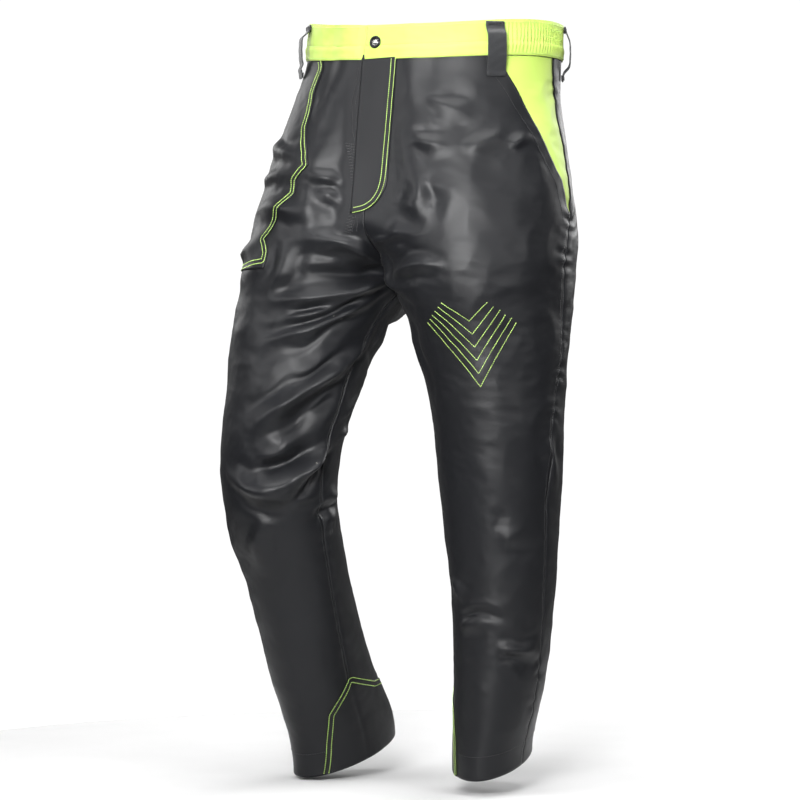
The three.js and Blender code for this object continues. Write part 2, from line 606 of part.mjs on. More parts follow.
const sliderTopV = -ZIP_TOP - 1;
const sliderBox = (half, outer, inner) =>
  flyPiece(outlineShape(box(-half, half, sliderTopV - SLIDER_LENGTH, sliderTopV)), outer, inner);
const lugShape = outlineShape(box(-1, 1, sliderTopV - 5, sliderTopV - 3));
const lug = flyPiece(lugShape, -SLIDER_TOP + 1.2, -SLIDER_TOP - 0.1);
const slider = sliderBox(5.2, -SLIDER_TOP, -SLIDER_TOP - PLATE)
  .add(sliderBox(0.6, -SLIDER_TOP - PLATE + 0.1, -SLIDER_BACK + PLATE - 0.1))
  .add(sliderBox(5.2, -SLIDER_BACK + PLATE, -SLIDER_BACK))
  .add(lug);
add("zip_slider", slider, BRIGHT_METAL);

const tab = new THREE.Shape();
const tabTop = sliderTopV - 1;
tab.moveTo(-3, tabTop);
tab.lineTo(-3, tabTop - 24);
tab.quadraticCurveTo(-3, tabTop - 27, 0, tabTop - 27);
tab.quadraticCurveTo(3, tabTop - 27, 3, tabTop - 24);
tab.lineTo(3, tabTop);
tab.closePath();
const tabHole = box(-1.4, 1.4, tabTop - 4.6, tabTop - 1.4).map(([x, v]) => new THREE.Vector2(x, v));
tab.holes.push(new THREE.Path(tabHole));
add("zip_pull_tab", flyPiece(tab, -SLIDER_TOP + FIT + 1.1, -SLIDER_TOP + FIT), BRIGHT_METAL);

const shieldInner = SLIDER_BACK + FIT;
const shieldShape = outlineShape(box(-24, 24, flyBottom + 6, plateTop));
add("fly_shield", flyPiece(shieldShape, -shieldInner, LINING_LAYER + FIT), BLACK);

// ---- Waist button: a hollow-topped cap on a shank, held by a tack from behind ----
function flyTurned(profile) {
  const geometry = new THREE.LatheGeometry(profile.map(([r, h]) => new THREE.Vector2(r, h)), 28);
  geometry.rotateX(Math.PI / 2).translate(0, buttonZ * Math.hypot(1, FLY_TILT), 0).applyMatrix4(flyPlace);
  return manifold(geometry);
}
const R = BUTTON_RADIUS;
const head = FIT + BAND + FIT;
add("waist_button_cap", flyTurned([
  [1.3, FIT], [1.7, FIT], [1.7, head], [R - 0.5, head], [R, head + 0.5],
  [R, head + 1.8], [R - 0.6, head + 2.5],
  [R - 2, head + 2.7], [R - 3.1, head + 2.2], [R - 3.5, head + 1.3], [2.2, head + 1.3], [2.2, head + 1.8],
  [1.2, head + 2.3], [0, head + 2.4], [0, head + 1.6], [1.3, head + 1.6], [1.3, FIT],
]), DARK_METAL);
add("waist_button_tack", flyTurned([
  [0, head + 1.2], [1, head + 1.2], [1, -CLOTH - FIT],
  [5, -CLOTH - FIT], [5, -CLOTH - FIT - 1], [0, -CLOTH - FIT - 1],
]), DARK_METAL);

// ---- Back pocket on the right, with its flap ----
{
  const beside = (degrees) => face("right", 180, POCKET_AT + degrees);
  const outward = beside(1).sub(beside(-1)).setZ(0).normalize();
  const heading = Math.atan2(-outward.y, -outward.x) / RAD;
  const [middle] = seenFrom(heading, face("right", 180, POCKET_AT));
  const [a, b] = [middle - POCKET_HALF_WIDTH, middle + POCKET_HALF_WIDTH];
  const foot = -POCKET_TOP - POCKET_DEPTH;
  const bag = [[a, -POCKET_TOP], [a, foot + 18], [middle, foot], [b, foot + 18], [b, -POCKET_TOP]];
  const cloth = (outer, inner) => layer("right", backAngles, BAND_HEIGHT, 600, outer, inner);
  add("back_pocket_right", largest(cloth(FIT + BACKING, FIT).intersect(block(heading, bag, 20, 320))), BLACK);
  const flapFoot = -FLAP_TOP - FLAP_LENGTH;
  const flap = [
    [a - 2, -FLAP_TOP], [a - 2, flapFoot + 8], [a + 8, flapFoot], [b - 8, flapFoot], [b + 2, flapFoot + 8],
    [b + 2, -FLAP_TOP],
  ];
  const flapIn = FIT + BACKING + FIT;
  const flapCloth = cloth(flapIn + CLOTH, flapIn).intersect(block(heading, flap, 20, 320));
  add("back_pocket_flap", largest(flapCloth), BLACK);
}

export default group;
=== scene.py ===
import bpy
import numpy as np
from math import cos, pi, radians, sin
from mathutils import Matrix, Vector


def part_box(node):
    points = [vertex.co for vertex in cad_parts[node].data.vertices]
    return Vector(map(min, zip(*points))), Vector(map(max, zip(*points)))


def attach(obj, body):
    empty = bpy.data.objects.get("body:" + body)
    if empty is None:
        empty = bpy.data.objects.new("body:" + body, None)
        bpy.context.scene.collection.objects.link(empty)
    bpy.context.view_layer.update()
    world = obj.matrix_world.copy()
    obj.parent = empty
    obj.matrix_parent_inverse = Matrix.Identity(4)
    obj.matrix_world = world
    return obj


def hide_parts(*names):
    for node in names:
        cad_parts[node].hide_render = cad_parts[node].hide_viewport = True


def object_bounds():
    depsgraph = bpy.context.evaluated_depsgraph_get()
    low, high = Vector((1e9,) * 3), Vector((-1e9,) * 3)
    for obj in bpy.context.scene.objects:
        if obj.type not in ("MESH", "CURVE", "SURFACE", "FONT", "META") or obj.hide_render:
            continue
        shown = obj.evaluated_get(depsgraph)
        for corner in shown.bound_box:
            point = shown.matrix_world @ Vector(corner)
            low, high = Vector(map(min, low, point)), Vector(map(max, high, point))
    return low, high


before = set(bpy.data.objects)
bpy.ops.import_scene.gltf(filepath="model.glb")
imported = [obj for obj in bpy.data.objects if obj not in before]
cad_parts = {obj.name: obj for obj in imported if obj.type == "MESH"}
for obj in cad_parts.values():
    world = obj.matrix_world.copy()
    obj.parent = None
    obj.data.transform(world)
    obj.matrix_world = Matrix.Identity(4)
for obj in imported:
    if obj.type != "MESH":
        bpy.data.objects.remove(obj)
cad_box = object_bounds()

# ---- Camera: a long lens level with the knees, 33 degrees round from the front toward the left leg ----
HEADING = radians(33)
toward_camera = Vector((sin(HEADING), -cos(HEADING), 0))
camera_right = Vector((cos(HEADING), sin(HEADING), 0))
camera = bpy.data.objects.new("camera", bpy.data.cameras.new("camera"))
bpy.context.collection.objects.link(camera)
camera.location = Vector((0, 0, -0.511)) + 4.0 * toward_camera - 0.048 * camera_right
camera.rotation_euler = (radians(90), 0, HEADING)
camera.data.sensor_width = 36
camera.data.lens = 132.4
camera.data.clip_end = 60
bpy.context.scene.camera = camera

# ---- Studio: a round pale floor, a white surround and large soft lights at waist height and above ----
# The surround shows white, but lights the trousers only dimly, so that their dark cloth keeps its depth.
bpy.context.scene.view_settings.view_transform = "Standard"
world = bpy.data.worlds.new("studio")
bpy.context.scene.world = world
world.use_nodes = True
surround = world.node_tree
seen = surround.nodes.new("ShaderNodeLightPath")
level_of = surround.nodes.new("ShaderNodeMapRange")
level_of.inputs["To Min"].default_value = 0.045
level_of.inputs["To Max"].default_value = 1.05
surround.links.new(seen.outputs["Is Camera Ray"], level_of.inputs["Value"])
surround.links.new(level_of.outputs["Result"], surround.nodes["Background"].inputs["Strength"])
surround.nodes["Background"].inputs["Color"].default_value = (1, 1, 1, 1)


def mesh_object(name, points, faces, smooth=True, uv=None):
    """A mesh from points in metres; uv is one (u, v) pair for each point."""
    mesh = bpy.data.meshes.new(name)
    corners = [tuple(p) for p in np.asarray(points, float)]
    mesh.from_pydata(corners, [], [tuple(int(i) for i in f) for f in faces])
    if smooth:
        mesh.polygons.foreach_set("use_smooth", [True] * len(mesh.polygons))
    if uv is not None:
        layer = mesh.uv_layers.new(name="cloth")
        loops = np.empty(len(mesh.loops), int)
        mesh.loops.foreach_get("vertex_index", loops)
        layer.data.foreach_set("uv", np.asarray(uv, float)[loops].ravel())
    obj = bpy.data.objects.new(name, mesh)
    bpy.context.collection.objects.link(obj)
    return obj


def grid_faces(rows, columns, first=0, turned=False):
    """Quads of a grid of points stored row by row."""
    i, j = np.meshgrid(np.arange(rows - 1), np.arange(columns - 1), indexing="ij")
    a = first + (i * columns + j).ravel()
    quads = np.stack([a, a + 1, a + columns + 1, a + columns], 1)
    return quads[:, ::-1] if turned else quads


def node(tree, kind, **values):
    """A shader node with its inputs and settings set by name."""
    made = tree.nodes.new(kind)
    for key, value in values.items():
        if key in made.inputs:
            made.inputs[key].default_value = value
        else:
            setattr(made, key, value)
    return made


def surface_material(name, colour, second, roughness, scale, bump, sheen=0.0, metallic=0.0, specular=0.4):
    """Two mottled colours, uneven roughness and a fine grain of the given scale in the surface."""
    material = bpy.data.materials.new(name)
    material.use_nodes = True
    tree = material.node_tree
    shader = tree.nodes["Principled BSDF"]
    place = node(tree, "ShaderNodeTexCoord")
    broad = node(tree, "ShaderNodeTexNoise", Scale=9.0, Detail=4.0)
    tree.links.new(place.outputs["Object"], broad.inputs["Vector"])
    blend = node(tree, "ShaderNodeMix", data_type="RGBA")
    blend.inputs[6].default_value = (*colour, 1)
    blend.inputs[7].default_value = (*second, 1)
    strength = node(tree, "ShaderNodeMapRange")
    strength.inputs["From Min"].default_value = 0.25
    strength.inputs["From Max"].default_value = 0.75
    tree.links.new(broad.outputs["Fac"], strength.inputs["Value"])
    tree.links.new(strength.outputs["Result"], blend.inputs[0])
    tree.links.new(blend.outputs[2], shader.inputs["Base Color"])
    rub = node(tree, "ShaderNodeMapRange")
    rub.inputs["To Min"].default_value = roughness - 0.05
    rub.inputs["To Max"].default_value = roughness + 0.06
    tree.links.new(broad.outputs["Fac"], rub.inputs["Value"])
    tree.links.new(rub.outputs["Result"], shader.inputs["Roughness"])
    grain = node(tree, "ShaderNodeTexNoise", Scale=scale, Detail=3.0)
    tree.links.new(place.outputs["Object"], grain.inputs["Vector"])
    raised = node(tree, "ShaderNodeBump", Strength=bump, Distance=0.0003)
    tree.links.new(grain.outputs["Fac"], raised.inputs["Height"])
    tree.links.new(raised.outputs["Normal"], shader.inputs["Normal"])
    shader.inputs["Metallic"].default_value = metallic
    shader.inputs["Specular IOR Level"].default_value = specular
    shader.inputs["Sheen Weight"].default_value = sheen
    return material


FLOOR_Z = cad_box[0][2] - 0.004
turn = np.arange(96) * 2 * pi / 96
floor_points = [(0.9 * cos(a), 0.9 * sin(a), FLOOR_Z) for a in turn] + [(0, 0, FLOOR_Z)]
floor = mesh_object("studio_floor", floor_points, [(96, i, (i + 1) % 96) for i in range(96)], smooth=False)
paper = surface_material("studio_paper", (0.84, 0.84, 0.84), (0.81, 0.81, 0.81), 0.9, 60, 0.02)
floor.data.materials.append(paper)
floor.visible_diffuse = False


def soft_light(name, place, size, power, spread=180):
    """A square softbox that faces the thighs; a grid over it narrows its spread (degrees)."""
    lamp = bpy.data.lights.new(name, "AREA")
    lamp.shape = "RECTANGLE"
    lamp.size, lamp.size_y = size
    lamp.energy = power
    lamp.spread = spread * pi / 180
    obj = bpy.data.objects.new(name, lamp)
    obj.location = place
    obj.visible_camera = False
    obj.rotation_euler = (Vector((0, 0, -0.35)) - Vector(place)).to_track_quat("-Z", "Y").to_euler()
    bpy.context.collection.objects.link(obj)


soft_light("front_softbox", (0.85, -2.1, 0.2), (0.8, 0.6), 9.5, 60)
soft_light("right_softbox", (-1.25, -1.6, 0.5), (0.9, 0.9), 2.6, 70)
soft_light("side_softbox", (-2.3, 0.6, 0.5), (1.0, 1.0), 12)
soft_light("left_softbox", (2.4, -0.7, 0.4), (0.9, 1.0), 16)
soft_light("top_softbox", (0.3, -0.4, 2.2), (2.2, 1.8), 78)
soft_light("back_softbox", (0.4, 2.5, 0.7), (1.8, 1.4), 42)

# ---- Legs: the worn shape that all the cloth follows ----
# Each leg is a tube of heavy satin twill, padded in front and sewn from a front and a back panel. The right
# knee is bent. A place on the cloth is (side, depth, angle): mm below the waist edge, and degrees round the
# leg, 0 at the inseam, 90 in front, 180 outside and 270 behind. Working sizes are millimetres.
CROTCH_DEPTH = 345
FRONT_SLOPE = 32 / 237  # the flat round the fly leans forward as it goes down
# down: depth; out: distance of the ring centre from the middle; wide, front, behind: half sizes of the ring;
# back: shift of the centre backward; twist: how far the left side trails the right, per mm across.
BODY_RINGS = dict(
    down=[0, 50, 106, 171, 237, 300, 345],
    out=[0, 0, 10, 34, 62, 92, 112],
    wide=[182, 184, 177, 167, 151, 130, 112],
    front=[139, 139, 136, 130, 131, 124, 114],
    behind=[139, 141, 147, 152, 150, 136, 120],
    back=[0, -6, -21, -41, -53, -65, -78],
    twist=[0, 0, 0.04, 0.08, 0.1, 0.12, 0.14],
)
# toe: degrees the ring is turned toe outward; slope: rise of the ring plane toward its back.
LEG_RINGS = dict(
    left=dict(
        down=[345, 420, 495, 625, 755, 885, 985],
        out=[112, 123, 129, 135, 138, 130, 118],
        back=[-62, -58, -56, -52, -49, -45, -44],
        wide=[112, 100, 90, 80, 69, 59, 50],
        front=[114, 99, 91, 80, 71, 76, 82],
        behind=[120, 103, 94, 82, 73, 76, 82],
        toe=[0, 2, 5, 9, 12, 15, 17],
        slope=[0, 0, 0, 0.03, 0.1, 0.2, 0.27],
    ),
    right=dict(
        down=[345, 420, 495, 600, 640, 755, 885, 995],
        out=[112, 126, 135, 144, 145, 144, 138, 132],
        back=[-94, -122, -144, -164, -160, -120, -70, -26],
        wide=[112, 98, 89, 79, 76, 67, 57, 49],
        front=[114, 98, 89, 79, 76, 70, 74, 80],
        behind=[120, 103, 92, 81, 78, 71, 74, 80],
        toe=[0, 2, 5, 8, 9, 12, 15, 17],
        slope=[0, 0, 0, 0.04, 0.08, 0.18, 0.28, 0.36],
    ),
)
SIDE_SEAM = (
    [50, 120, 190, 270, 320, 430, 490, 580, 660, 1000],
    [184, 193, 198, 190, 185, 185, 179, 167, 162, 160],
)
POCKET_MOUTH = ([50, 110, 150, 190, 230, 275], [147, 159, 167, 175, 184, 189])
HEM = dict(left=985, right=995)
SIDES = dict(left=1, right=-1)


def curve(keys, values, where):
    """Smooth value between table entries, never overshooting them."""
    k, v = np.asarray(keys, float), np.asarray(values, float)
    rise = np.diff(v) / np.diff(k)
    slope = np.zeros_like(v)
    same = rise[:-1] * rise[1:] > 0
    slope[1:-1][same] = 2 * rise[:-1][same] * rise[1:][same] / (rise[:-1][same] + rise[1:][same])
    w = np.clip(where, k[0], k[-1])
    i = np.clip(np.searchsorted(k, w) - 1, 0, len(k) - 2)
    step = k[i + 1] - k[i]
    t = (w - k[i]) / step
    from_ends = (2 * t**3 - 3 * t**2 + 1) * v[i] + (3 * t**2 - 2 * t**3) * v[i + 1]
    return from_ends + ((t**3 - 2 * t**2 + t) * slope[i] + (t**3 - t**2) * slope[i + 1]) * step


def ease(t):
    t = np.clip(t, 0, 1)
    return t * t * (3 - 2 * t)


def smooth_face(side, depth, angle):
    """The unfolded cloth face, in mm."""
    s = SIDES[side]
    c, n = np.cos(np.radians(angle)), np.sin(np.radians(angle))
    body = {key: curve(BODY_RINGS["down"], BODY_RINGS[key], depth) for key in BODY_RINGS}
    x = s * (body["out"] - body["wide"] * c)
    y = body["back"] - np.where(n > 0, body["front"], body["behind"]) * n + body["twist"] * x
    dip = (16 * np.maximum(0, n) ** 2 + 0.05 * x) * np.clip(1 - depth / 200, 0, 1)
    z = -depth - dip
    fly_flat = (1 - ease((np.abs(x) - 36) / 46)) * (1 - ease((depth - 270) / 50)) * (n > 0)
    y = y + (-139 + z * FRONT_SLOPE - y) * fly_flat
    rings = LEG_RINGS[side]
    leg = {key: curve(rings["down"], rings[key], depth) for key in rings}
    across, along = -leg["wide"] * c, -np.where(n > 0, leg["front"], leg["behind"]) * n
    toe = np.radians(leg["toe"])
    dx, dy = across * np.cos(toe) - along * np.sin(toe), across * np.sin(toe) + along * np.cos(toe)
    twist = 0.14 * np.clip(1 - (depth - CROTCH_DEPTH) / 200, 0, 1)
    low = np.stack([s * (leg["out"] + dx), leg["back"] + dy + twist * s * dx, -depth + leg["slope"] * dy], -1)
    return np.where((depth <= CROTCH_DEPTH)[..., None], np.stack([x, y, z], -1), low)


def noise(points, size, seed):
    """Soft random waves of the given wavelength in mm, between about -1 and 1."""
    chance = np.random.default_rng(seed)
    total = np.zeros(points.shape[:-1])
    for _ in range(9):
        direction = chance.normal(size=3)
        direction *= chance.uniform(0.7, 1.4) / np.linalg.norm(direction)
        total += np.sin(points @ direction * (2 * pi / size) + chance.uniform(0, 2 * pi))
    return total / 3.2


# Folds of the worn cloth: side, height, width, then the line each one follows as (angle, depth).
# A negative height is a groove. Most of them start where the crotch or the bent knee pulls the cloth.
FOLDS = [
    ("right", 9, 11, [(12, 326), (35, 321), (63, 300), (94, 297), (112, 312)]),
    ("right", 11, 10, [(8, 352), (18, 348), (43, 372), (75, 381), (106, 375)]),
    ("right", 8, 9, [(10, 358), (29, 387), (46, 414), (74, 429), (106, 443)]),
    ("right", 6, 8, [(22, 352), (30, 366), (52, 398), (80, 404), (104, 418)]),
    ("right", -6, 8, [(4, 338), (38, 345), (66, 342), (90, 352)]),
    ("right", 7, 12, [(98, 300), (84, 336), (102, 378)]),
    ("right", 7, 8, [(106, 204), (84, 228), (70, 252), (54, 292)]),
    ("right", 6, 7, [(95, 232), (78, 249), (64, 274)]),
    ("right", -5, 7, [(96, 222), (76, 240), (62, 262)]),
    ("right", 5, 10, [(156, 164), (112, 189), (88, 206)]),
    ("right", 5, 9, [(156, 216), (113, 207), (98, 214)]),
    ("right", 5, 9, [(158, 318), (140, 314), (114, 297)]),
    ("right", 4, 11, [(150, 262), (126, 250), (100, 262), (76, 288)]),
    ("right", 14, 11, [(356, 428), (7, 459), (34, 489), (60, 528), (96, 562)]),
    ("right", -6, 14, [(6, 500), (30, 528), (56, 566)]),
    ("right", 15, 11, [(354, 560), (12, 591), (44, 620), (84, 616), (98, 608)]),
    ("right", 13, 10, [(110, 600), (91, 612), (61, 630), (21, 640), (358, 630)]),
    ("right", -8, 10, [(76, 596), (44, 600), (14, 572), (2, 560)]),
    ("right", 3, 8, [(328, 500), (340, 520), (356, 536)]),
    ("right", 2.5, 6, [(314, 548), (330, 556), (350, 557)]),
    ("right", -6, 8, [(330, 648), (2, 660), (14, 680)]),
    ("right", 3, 9, [(320, 632), (336, 640), (356, 668), (2, 700)]),
    ("right", 4, 12, [(60, 660), (80, 690), (84, 730)]),
    ("right", 3, 12, [(120, 640), (126, 690), (120, 760)]),
    ("right", 5, 12, [(250, 560), (270, 596), (300, 606), (325, 590)]),
    ("right", 5, 11, [(215, 610), (245, 626), (285, 632), (318, 618)]),
    ("right", 4, 11, [(225, 660), (255, 652), (295, 655)]),
    ("right", 6, 14, [(350, 360), (318, 392), (282, 410), (240, 406)]),
    ("right", 6, 14, [(352, 398), (322, 436), (286, 452)]),
    ("right", 4, 12, [(285, 700), (250, 722), (215, 716)]),
    ("left", 7, 9, [(20, 300), (38, 321), (33, 357), (62, 369), (84, 360)]),
    ("left", 7, 9, [(100, 340), (77, 333), (46, 351), (24, 350)]),
    ("left", 5, 8, [(44, 300), (58, 298), (76, 291), (94, 299)]),
    ("left", 3.5, 8, [(100, 168), (108, 174), (121, 187)]),
    ("left", 4, 10, [(112, 110), (124, 128), (136, 148)]),
    ("left", 3.5, 9, [(124, 190), (136, 174), (147, 154)]),
    ("left", 3.5, 8, [(146, 184), (154, 172), (163, 158)]),
    ("left", 3.5, 8, [(100, 216), (97, 255), (86, 284)]),
    ("left", -3.5, 8, [(104, 230), (106, 252), (98, 280)]),
    ("left", -3.2, 6, [(54, 786), (70, 779), (84, 777), (114, 789), (122, 797)]),
    ("left", 2.6, 9, [(50, 799), (76, 792), (98, 796)]),
    ("left", 5, 8, [(100, 822), (130, 829), (166, 842)]),
    ("left", -3, 7, [(108, 833), (136, 842), (160, 856)]),
    ("left", 3, 9, [(42, 738), (62, 770)]),
    ("left", 4, 14, [(106, 696), (122, 682), (140, 664)]),
    ("left", 4, 14, [(28, 402), (36, 450), (34, 520)]),
    ("left", 5, 16, [(350, 372), (322, 402), (286, 414), (244, 404)]),
    ("left", 5, 14, [(352, 420), (322, 452), (290, 462)]),
    ("left", 5, 14, [(230, 620), (262, 640), (300, 636)]),
    ("left", 4, 12, [(220, 672), (256, 664), (296, 668)]),
    ("left", 4, 12, [(160, 560), (172, 600), (168, 650)]),
]


def near_line(side, depth, angle, line):
    """Distance to a line on the cloth, signed distance below it and the share of its length passed, in mm."""
    per_degree = curve(LEG_RINGS[side]["down"], LEG_RINGS[side]["wide"], depth) * pi / 180
    bends = np.array(line, float)
    bends[:, 0] = np.degrees(np.unwrap(np.radians(bends[:, 0])))
    for _ in range(2):
        cut = np.repeat(bends, 2, axis=0)[1:-1]
        cut = cut * 0.75 + cut.reshape(-1, 2, 2)[:, ::-1].reshape(-1, 2) * 0.25
        bends = np.concatenate([bends[:1], cut, bends[-1:]])
    middle = bends[:, 0].mean()
    turned = (angle - middle + 180) % 360 - 180 + middle
    scale = float(np.interp(bends[:, 1].mean(), LEG_RINGS[side]["down"], LEG_RINGS[side]["wide"])) * pi / 180
    lengths = [np.hypot((b[0] - a[0]) * scale, b[1] - a[1]) for a, b in zip(bends, bends[1:])]
    nearest, below, passed = np.full(turned.shape, 1e9), np.zeros(turned.shape), np.zeros(turned.shape)
    for (a, b), length, before in zip(zip(bends, bends[1:]), lengths, np.cumsum([0, *lengths])):
        along = np.array([(b[0] - a[0]) * scale, b[1] - a[1]]) / length
        u, v = (turned - a[0]) * per_degree, depth - a[1]
        t = np.clip(u * along[0] + v * along[1], 0, length)
        du, dv = u - t * along[0], v - t * along[1]
        distance = np.hypot(du, dv)
        closer = distance < nearest
        nearest = np.where(closer, distance, nearest)
        below = np.where(closer, np.where(dv > 0, distance, -distance), below)
        passed = np.where(closer, (before + t) / sum(lengths), passed)
    return nearest, below, passed


def fold_height(side, depth, angle, points):
    """How far the folds and the unevenness lift the cloth, in mm."""
    height = 2.2 * noise(points, 190, 3) + 0.9 * noise(points, 74, 5)
    height = height - 0.9 * np.abs(noise(points, 62, 8)) - 0.4 * np.abs(noise(points, 27, 9)) + 0.6
    height = height * np.interp(depth, [420, 640], [1.0, 0.6])
    for which, rise, width, line in FOLDS:
        if which != side:
            continue
        distance, below, passed = near_line(side, depth, angle, line)
        wide = width * (0.72 + 0.6 * passed) * (1 + 0.25 * noise(points, 55, 17))
        fade = ease(passed / 0.3 + 0.05) * ease((1 - passed) / 0.55)
        ridge = np.exp(-((distance / wide) ** 1.5))
        hollow = np.exp(-(((np.abs(below) - 1.9 * wide) / (0.9 * wide)) ** 2))
        height = height + 1.3 * rise * fade * (ridge - 0.3 * hollow) * (1 + 0.3 * noise(points, 80, 19))
    # The seams are held tight, so the cloth beside them puckers.
    for at, strength in ((curve(*SIDE_SEAM, depth), 1.0), (np.zeros_like(depth), 0.6)):
        away = np.abs((angle - at + 180) % 360 - 180) * 1.5
        ripple = np.sin(depth * 0.31 + 2.2 * noise(points, 60, 11)) * noise(points, 90, 12)
        height = height + strength * ripple * np.exp(-((away / 13) ** 2)) - 1.0 * np.exp(-((away / 3.0) ** 2))
    # Under the waistband, at the fly, along the middle and at the hems the cloth lies flat.
    calm = ease((depth - 52) / 60) * (0.35 + 0.65 * ease((HEM[side] - depth) / 60))
    at_fly = (1 - ease((np.abs(points[..., 0]) - 30) / 26)) * (points[..., 1] < -40) * (depth < 300)
    at_middle = (1 - ease(np.abs(points[..., 0]) / 14)) * (depth <= CROTCH_DEPTH + 2)
    return height * calm * (1 - np.maximum(at_fly, at_middle))


def cloth_face(side, depth, angle):
    """The folded cloth face, in mm."""
    points = smooth_face(side, depth, angle)
    round_leg = smooth_face(side, depth, angle + 0.6) - smooth_face(side, depth, angle - 0.6)
    down = smooth_face(side, depth + 1, angle) - smooth_face(side, depth - 1, angle)
    out = np.cross(round_leg, down)
    out *= -SIDES[side] / np.maximum(np.linalg.norm(out, axis=-1, keepdims=True), 1e-9)
    return points + out * fold_height(side, depth, angle, points)[..., None]


# One fine sheet of points per side holds the folded face; everything sewn to the cloth is laid on it.
ROW_STEP, COLUMN_STEP = 3.0, 1.5
SHEETS = {}
for side in SIDES:
    rows = np.arange(0, HEM[side] + 3.1, ROW_STEP)
    columns = np.arange(-90, 451, COLUMN_STEP)
    depth, angle = np.meshgrid(rows, columns, indexing="ij")
    points = cloth_face(side, depth, angle)
    out = np.cross(np.gradient(points, axis=1), np.gradient(points, axis=0))
    out *= -SIDES[side] / np.maximum(np.linalg.norm(out, axis=-1, keepdims=True), 1e-9)
    SHEETS[side] = (points, out)


def on_cloth(side, depth, angle, outward=0.0):
    """Points of the folded cloth, moved outward by a distance, in mm."""
    depth, angle, outward = np.broadcast_arrays(*(np.asarray(v, float) for v in (depth, angle, outward)))
    points, out = SHEETS[side]
    i = np.clip(depth / ROW_STEP, 0, points.shape[0] - 1.001)
    j = np.clip((angle + 90) / COLUMN_STEP, 0, points.shape[1] - 1.001)
    i0, j0 = i.astype(int), j.astype(int)
    fi, fj = (i - i0)[..., None], (j - j0)[..., None]
    result = []
    for values in (points, out):
        top = values[i0, j0] * (1 - fj) + values[i0, j0 + 1] * fj
        low = values[i0 + 1, j0] * (1 - fj) + values[i0 + 1, j0 + 1] * fj
        result.append(top * (1 - fi) + low * fi)
    moved = result[0] + result[1] * outward[..., None]
    s = SIDES[side]
    keep = (depth <= CROTCH_DEPTH + 60) & (s * moved[..., 0] < 0.15)
    moved[..., 0] = np.where(keep, s * 0.15, moved[..., 0])
    return moved


def shell(name, outer, inner, material, uv=None):
    """A closed piece between two grids of points in mm, outer and inner, with its edges closed round."""
    rows, columns = outer.shape[:2]
    count = rows * columns
    points = np.concatenate([outer.reshape(-1, 3), inner.reshape(-1, 3)]) / 1000
    index = np.arange(count).reshape(rows, columns)
    edge = np.concatenate([index[0], index[1:, -1], index[-1, -2::-1], index[-2:0:-1, 0]])
    following = np.roll(edge, -1)
    rim = np.stack([edge, edge + count, following + count, following], 1)
    faces = np.concatenate([grid_faces(rows, columns), grid_faces(rows, columns, count, True), rim])
    i, j = rows // 2, columns // 2
    a, b, c = points[index[i, j]], points[index[i, j + 1]], points[index[i + 1, j]]
    facing_out = np.dot(np.cross(b - a, c - a), a - points[count + index[i, j]])
    if facing_out < 0:
        faces = faces[:, ::-1]
    flat = None if uv is None else np.concatenate([uv.reshape(-1, 2)] * 2) / 1000
    obj = mesh_object(name, points, faces, uv=flat)
    obj.data.materials.append(material)
    return obj


def sew_in(obj, slot, *nodes, body="trousers"):
    """Makes the piece part of a body and lets it stand for its plain nodes."""
    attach(obj, body)
    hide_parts(*nodes)


def cloth_piece(name, side, depths, angles, outer, inner, material, slot, replaces, body="trousers"):
    """A layer laid on the folded cloth; angles holds one row of angles for each depth."""
    depths = np.asarray(depths, float)[:, None] + np.zeros_like(angles)
    uv = np.stack([angles * 1.7, depths], -1)
    faces = [on_cloth(side, depths, angles, shift) for shift in (outer, inner)]
    obj = shell(name, *faces, material, uv)
    sew_in(obj, slot, *replaces, body=body)
    return obj


def between(low, high, count):
    """Rows of evenly spaced angles from low to high, which hold one value for each depth."""
    share = np.linspace(0, 1, count)
    return np.asarray(low, float)[:, None] * (1 - share) + np.asarray(high, float)[:, None] * share


def first_angle(depth, slit):
    """Angle where the front meets the middle of the body, or the edge of the fly slit above its lower end."""
    out = curve(BODY_RINGS["down"], BODY_RINGS["out"], depth)
    wide = curve(BODY_RINGS["down"], BODY_RINGS["wide"], depth)
    meets = np.degrees(np.arccos(np.clip((out - np.where(depth < 252, slit, 0)) / wide, -1, 1)))
    return np.where(depth <= CROTCH_DEPTH, meets, 0.15)


# ---- Outer cloth: front and back panels ----
# Satin-faced twill, charcoal and slightly shiny, with a fine diagonal rib. The front panels stop at the
# slanted pocket mouths; front and back panels meet at the outside seam and at the inseam.
satin = surface_material(
    "charcoal_satin", (0.0085, 0.009, 0.011), (0.006, 0.0063, 0.0078), 0.44, 900, 0.2, 0.02, 0.0, 0.34,
)


def add_twill(material, pitch, strength):
    """A diagonal rib along the cloth."""
    tree = material.node_tree
    shader = tree.nodes["Principled BSDF"]
    place = node(tree, "ShaderNodeTexCoord")
    turn = node(tree, "ShaderNodeMapping")
    turn.inputs["Rotation"].default_value = (0, 0, radians(63))
    ribs = node(tree, "ShaderNodeTexWave", Scale=1 / pitch, Distortion=1.5, Detail=1.0)
    tree.links.new(place.outputs["UV"], turn.inputs["Vector"])
    tree.links.new(turn.outputs["Vector"], ribs.inputs["Vector"])
    raised = node(tree, "ShaderNodeBump", Strength=strength, Distance=0.00025)
    tree.links.new(ribs.outputs["Fac"], raised.inputs["Height"])
    tree.links.new(shader.inputs["Normal"].links[0].from_socket, raised.inputs["Normal"])
    tree.links.new(raised.outputs["Normal"], shader.inputs["Normal"])


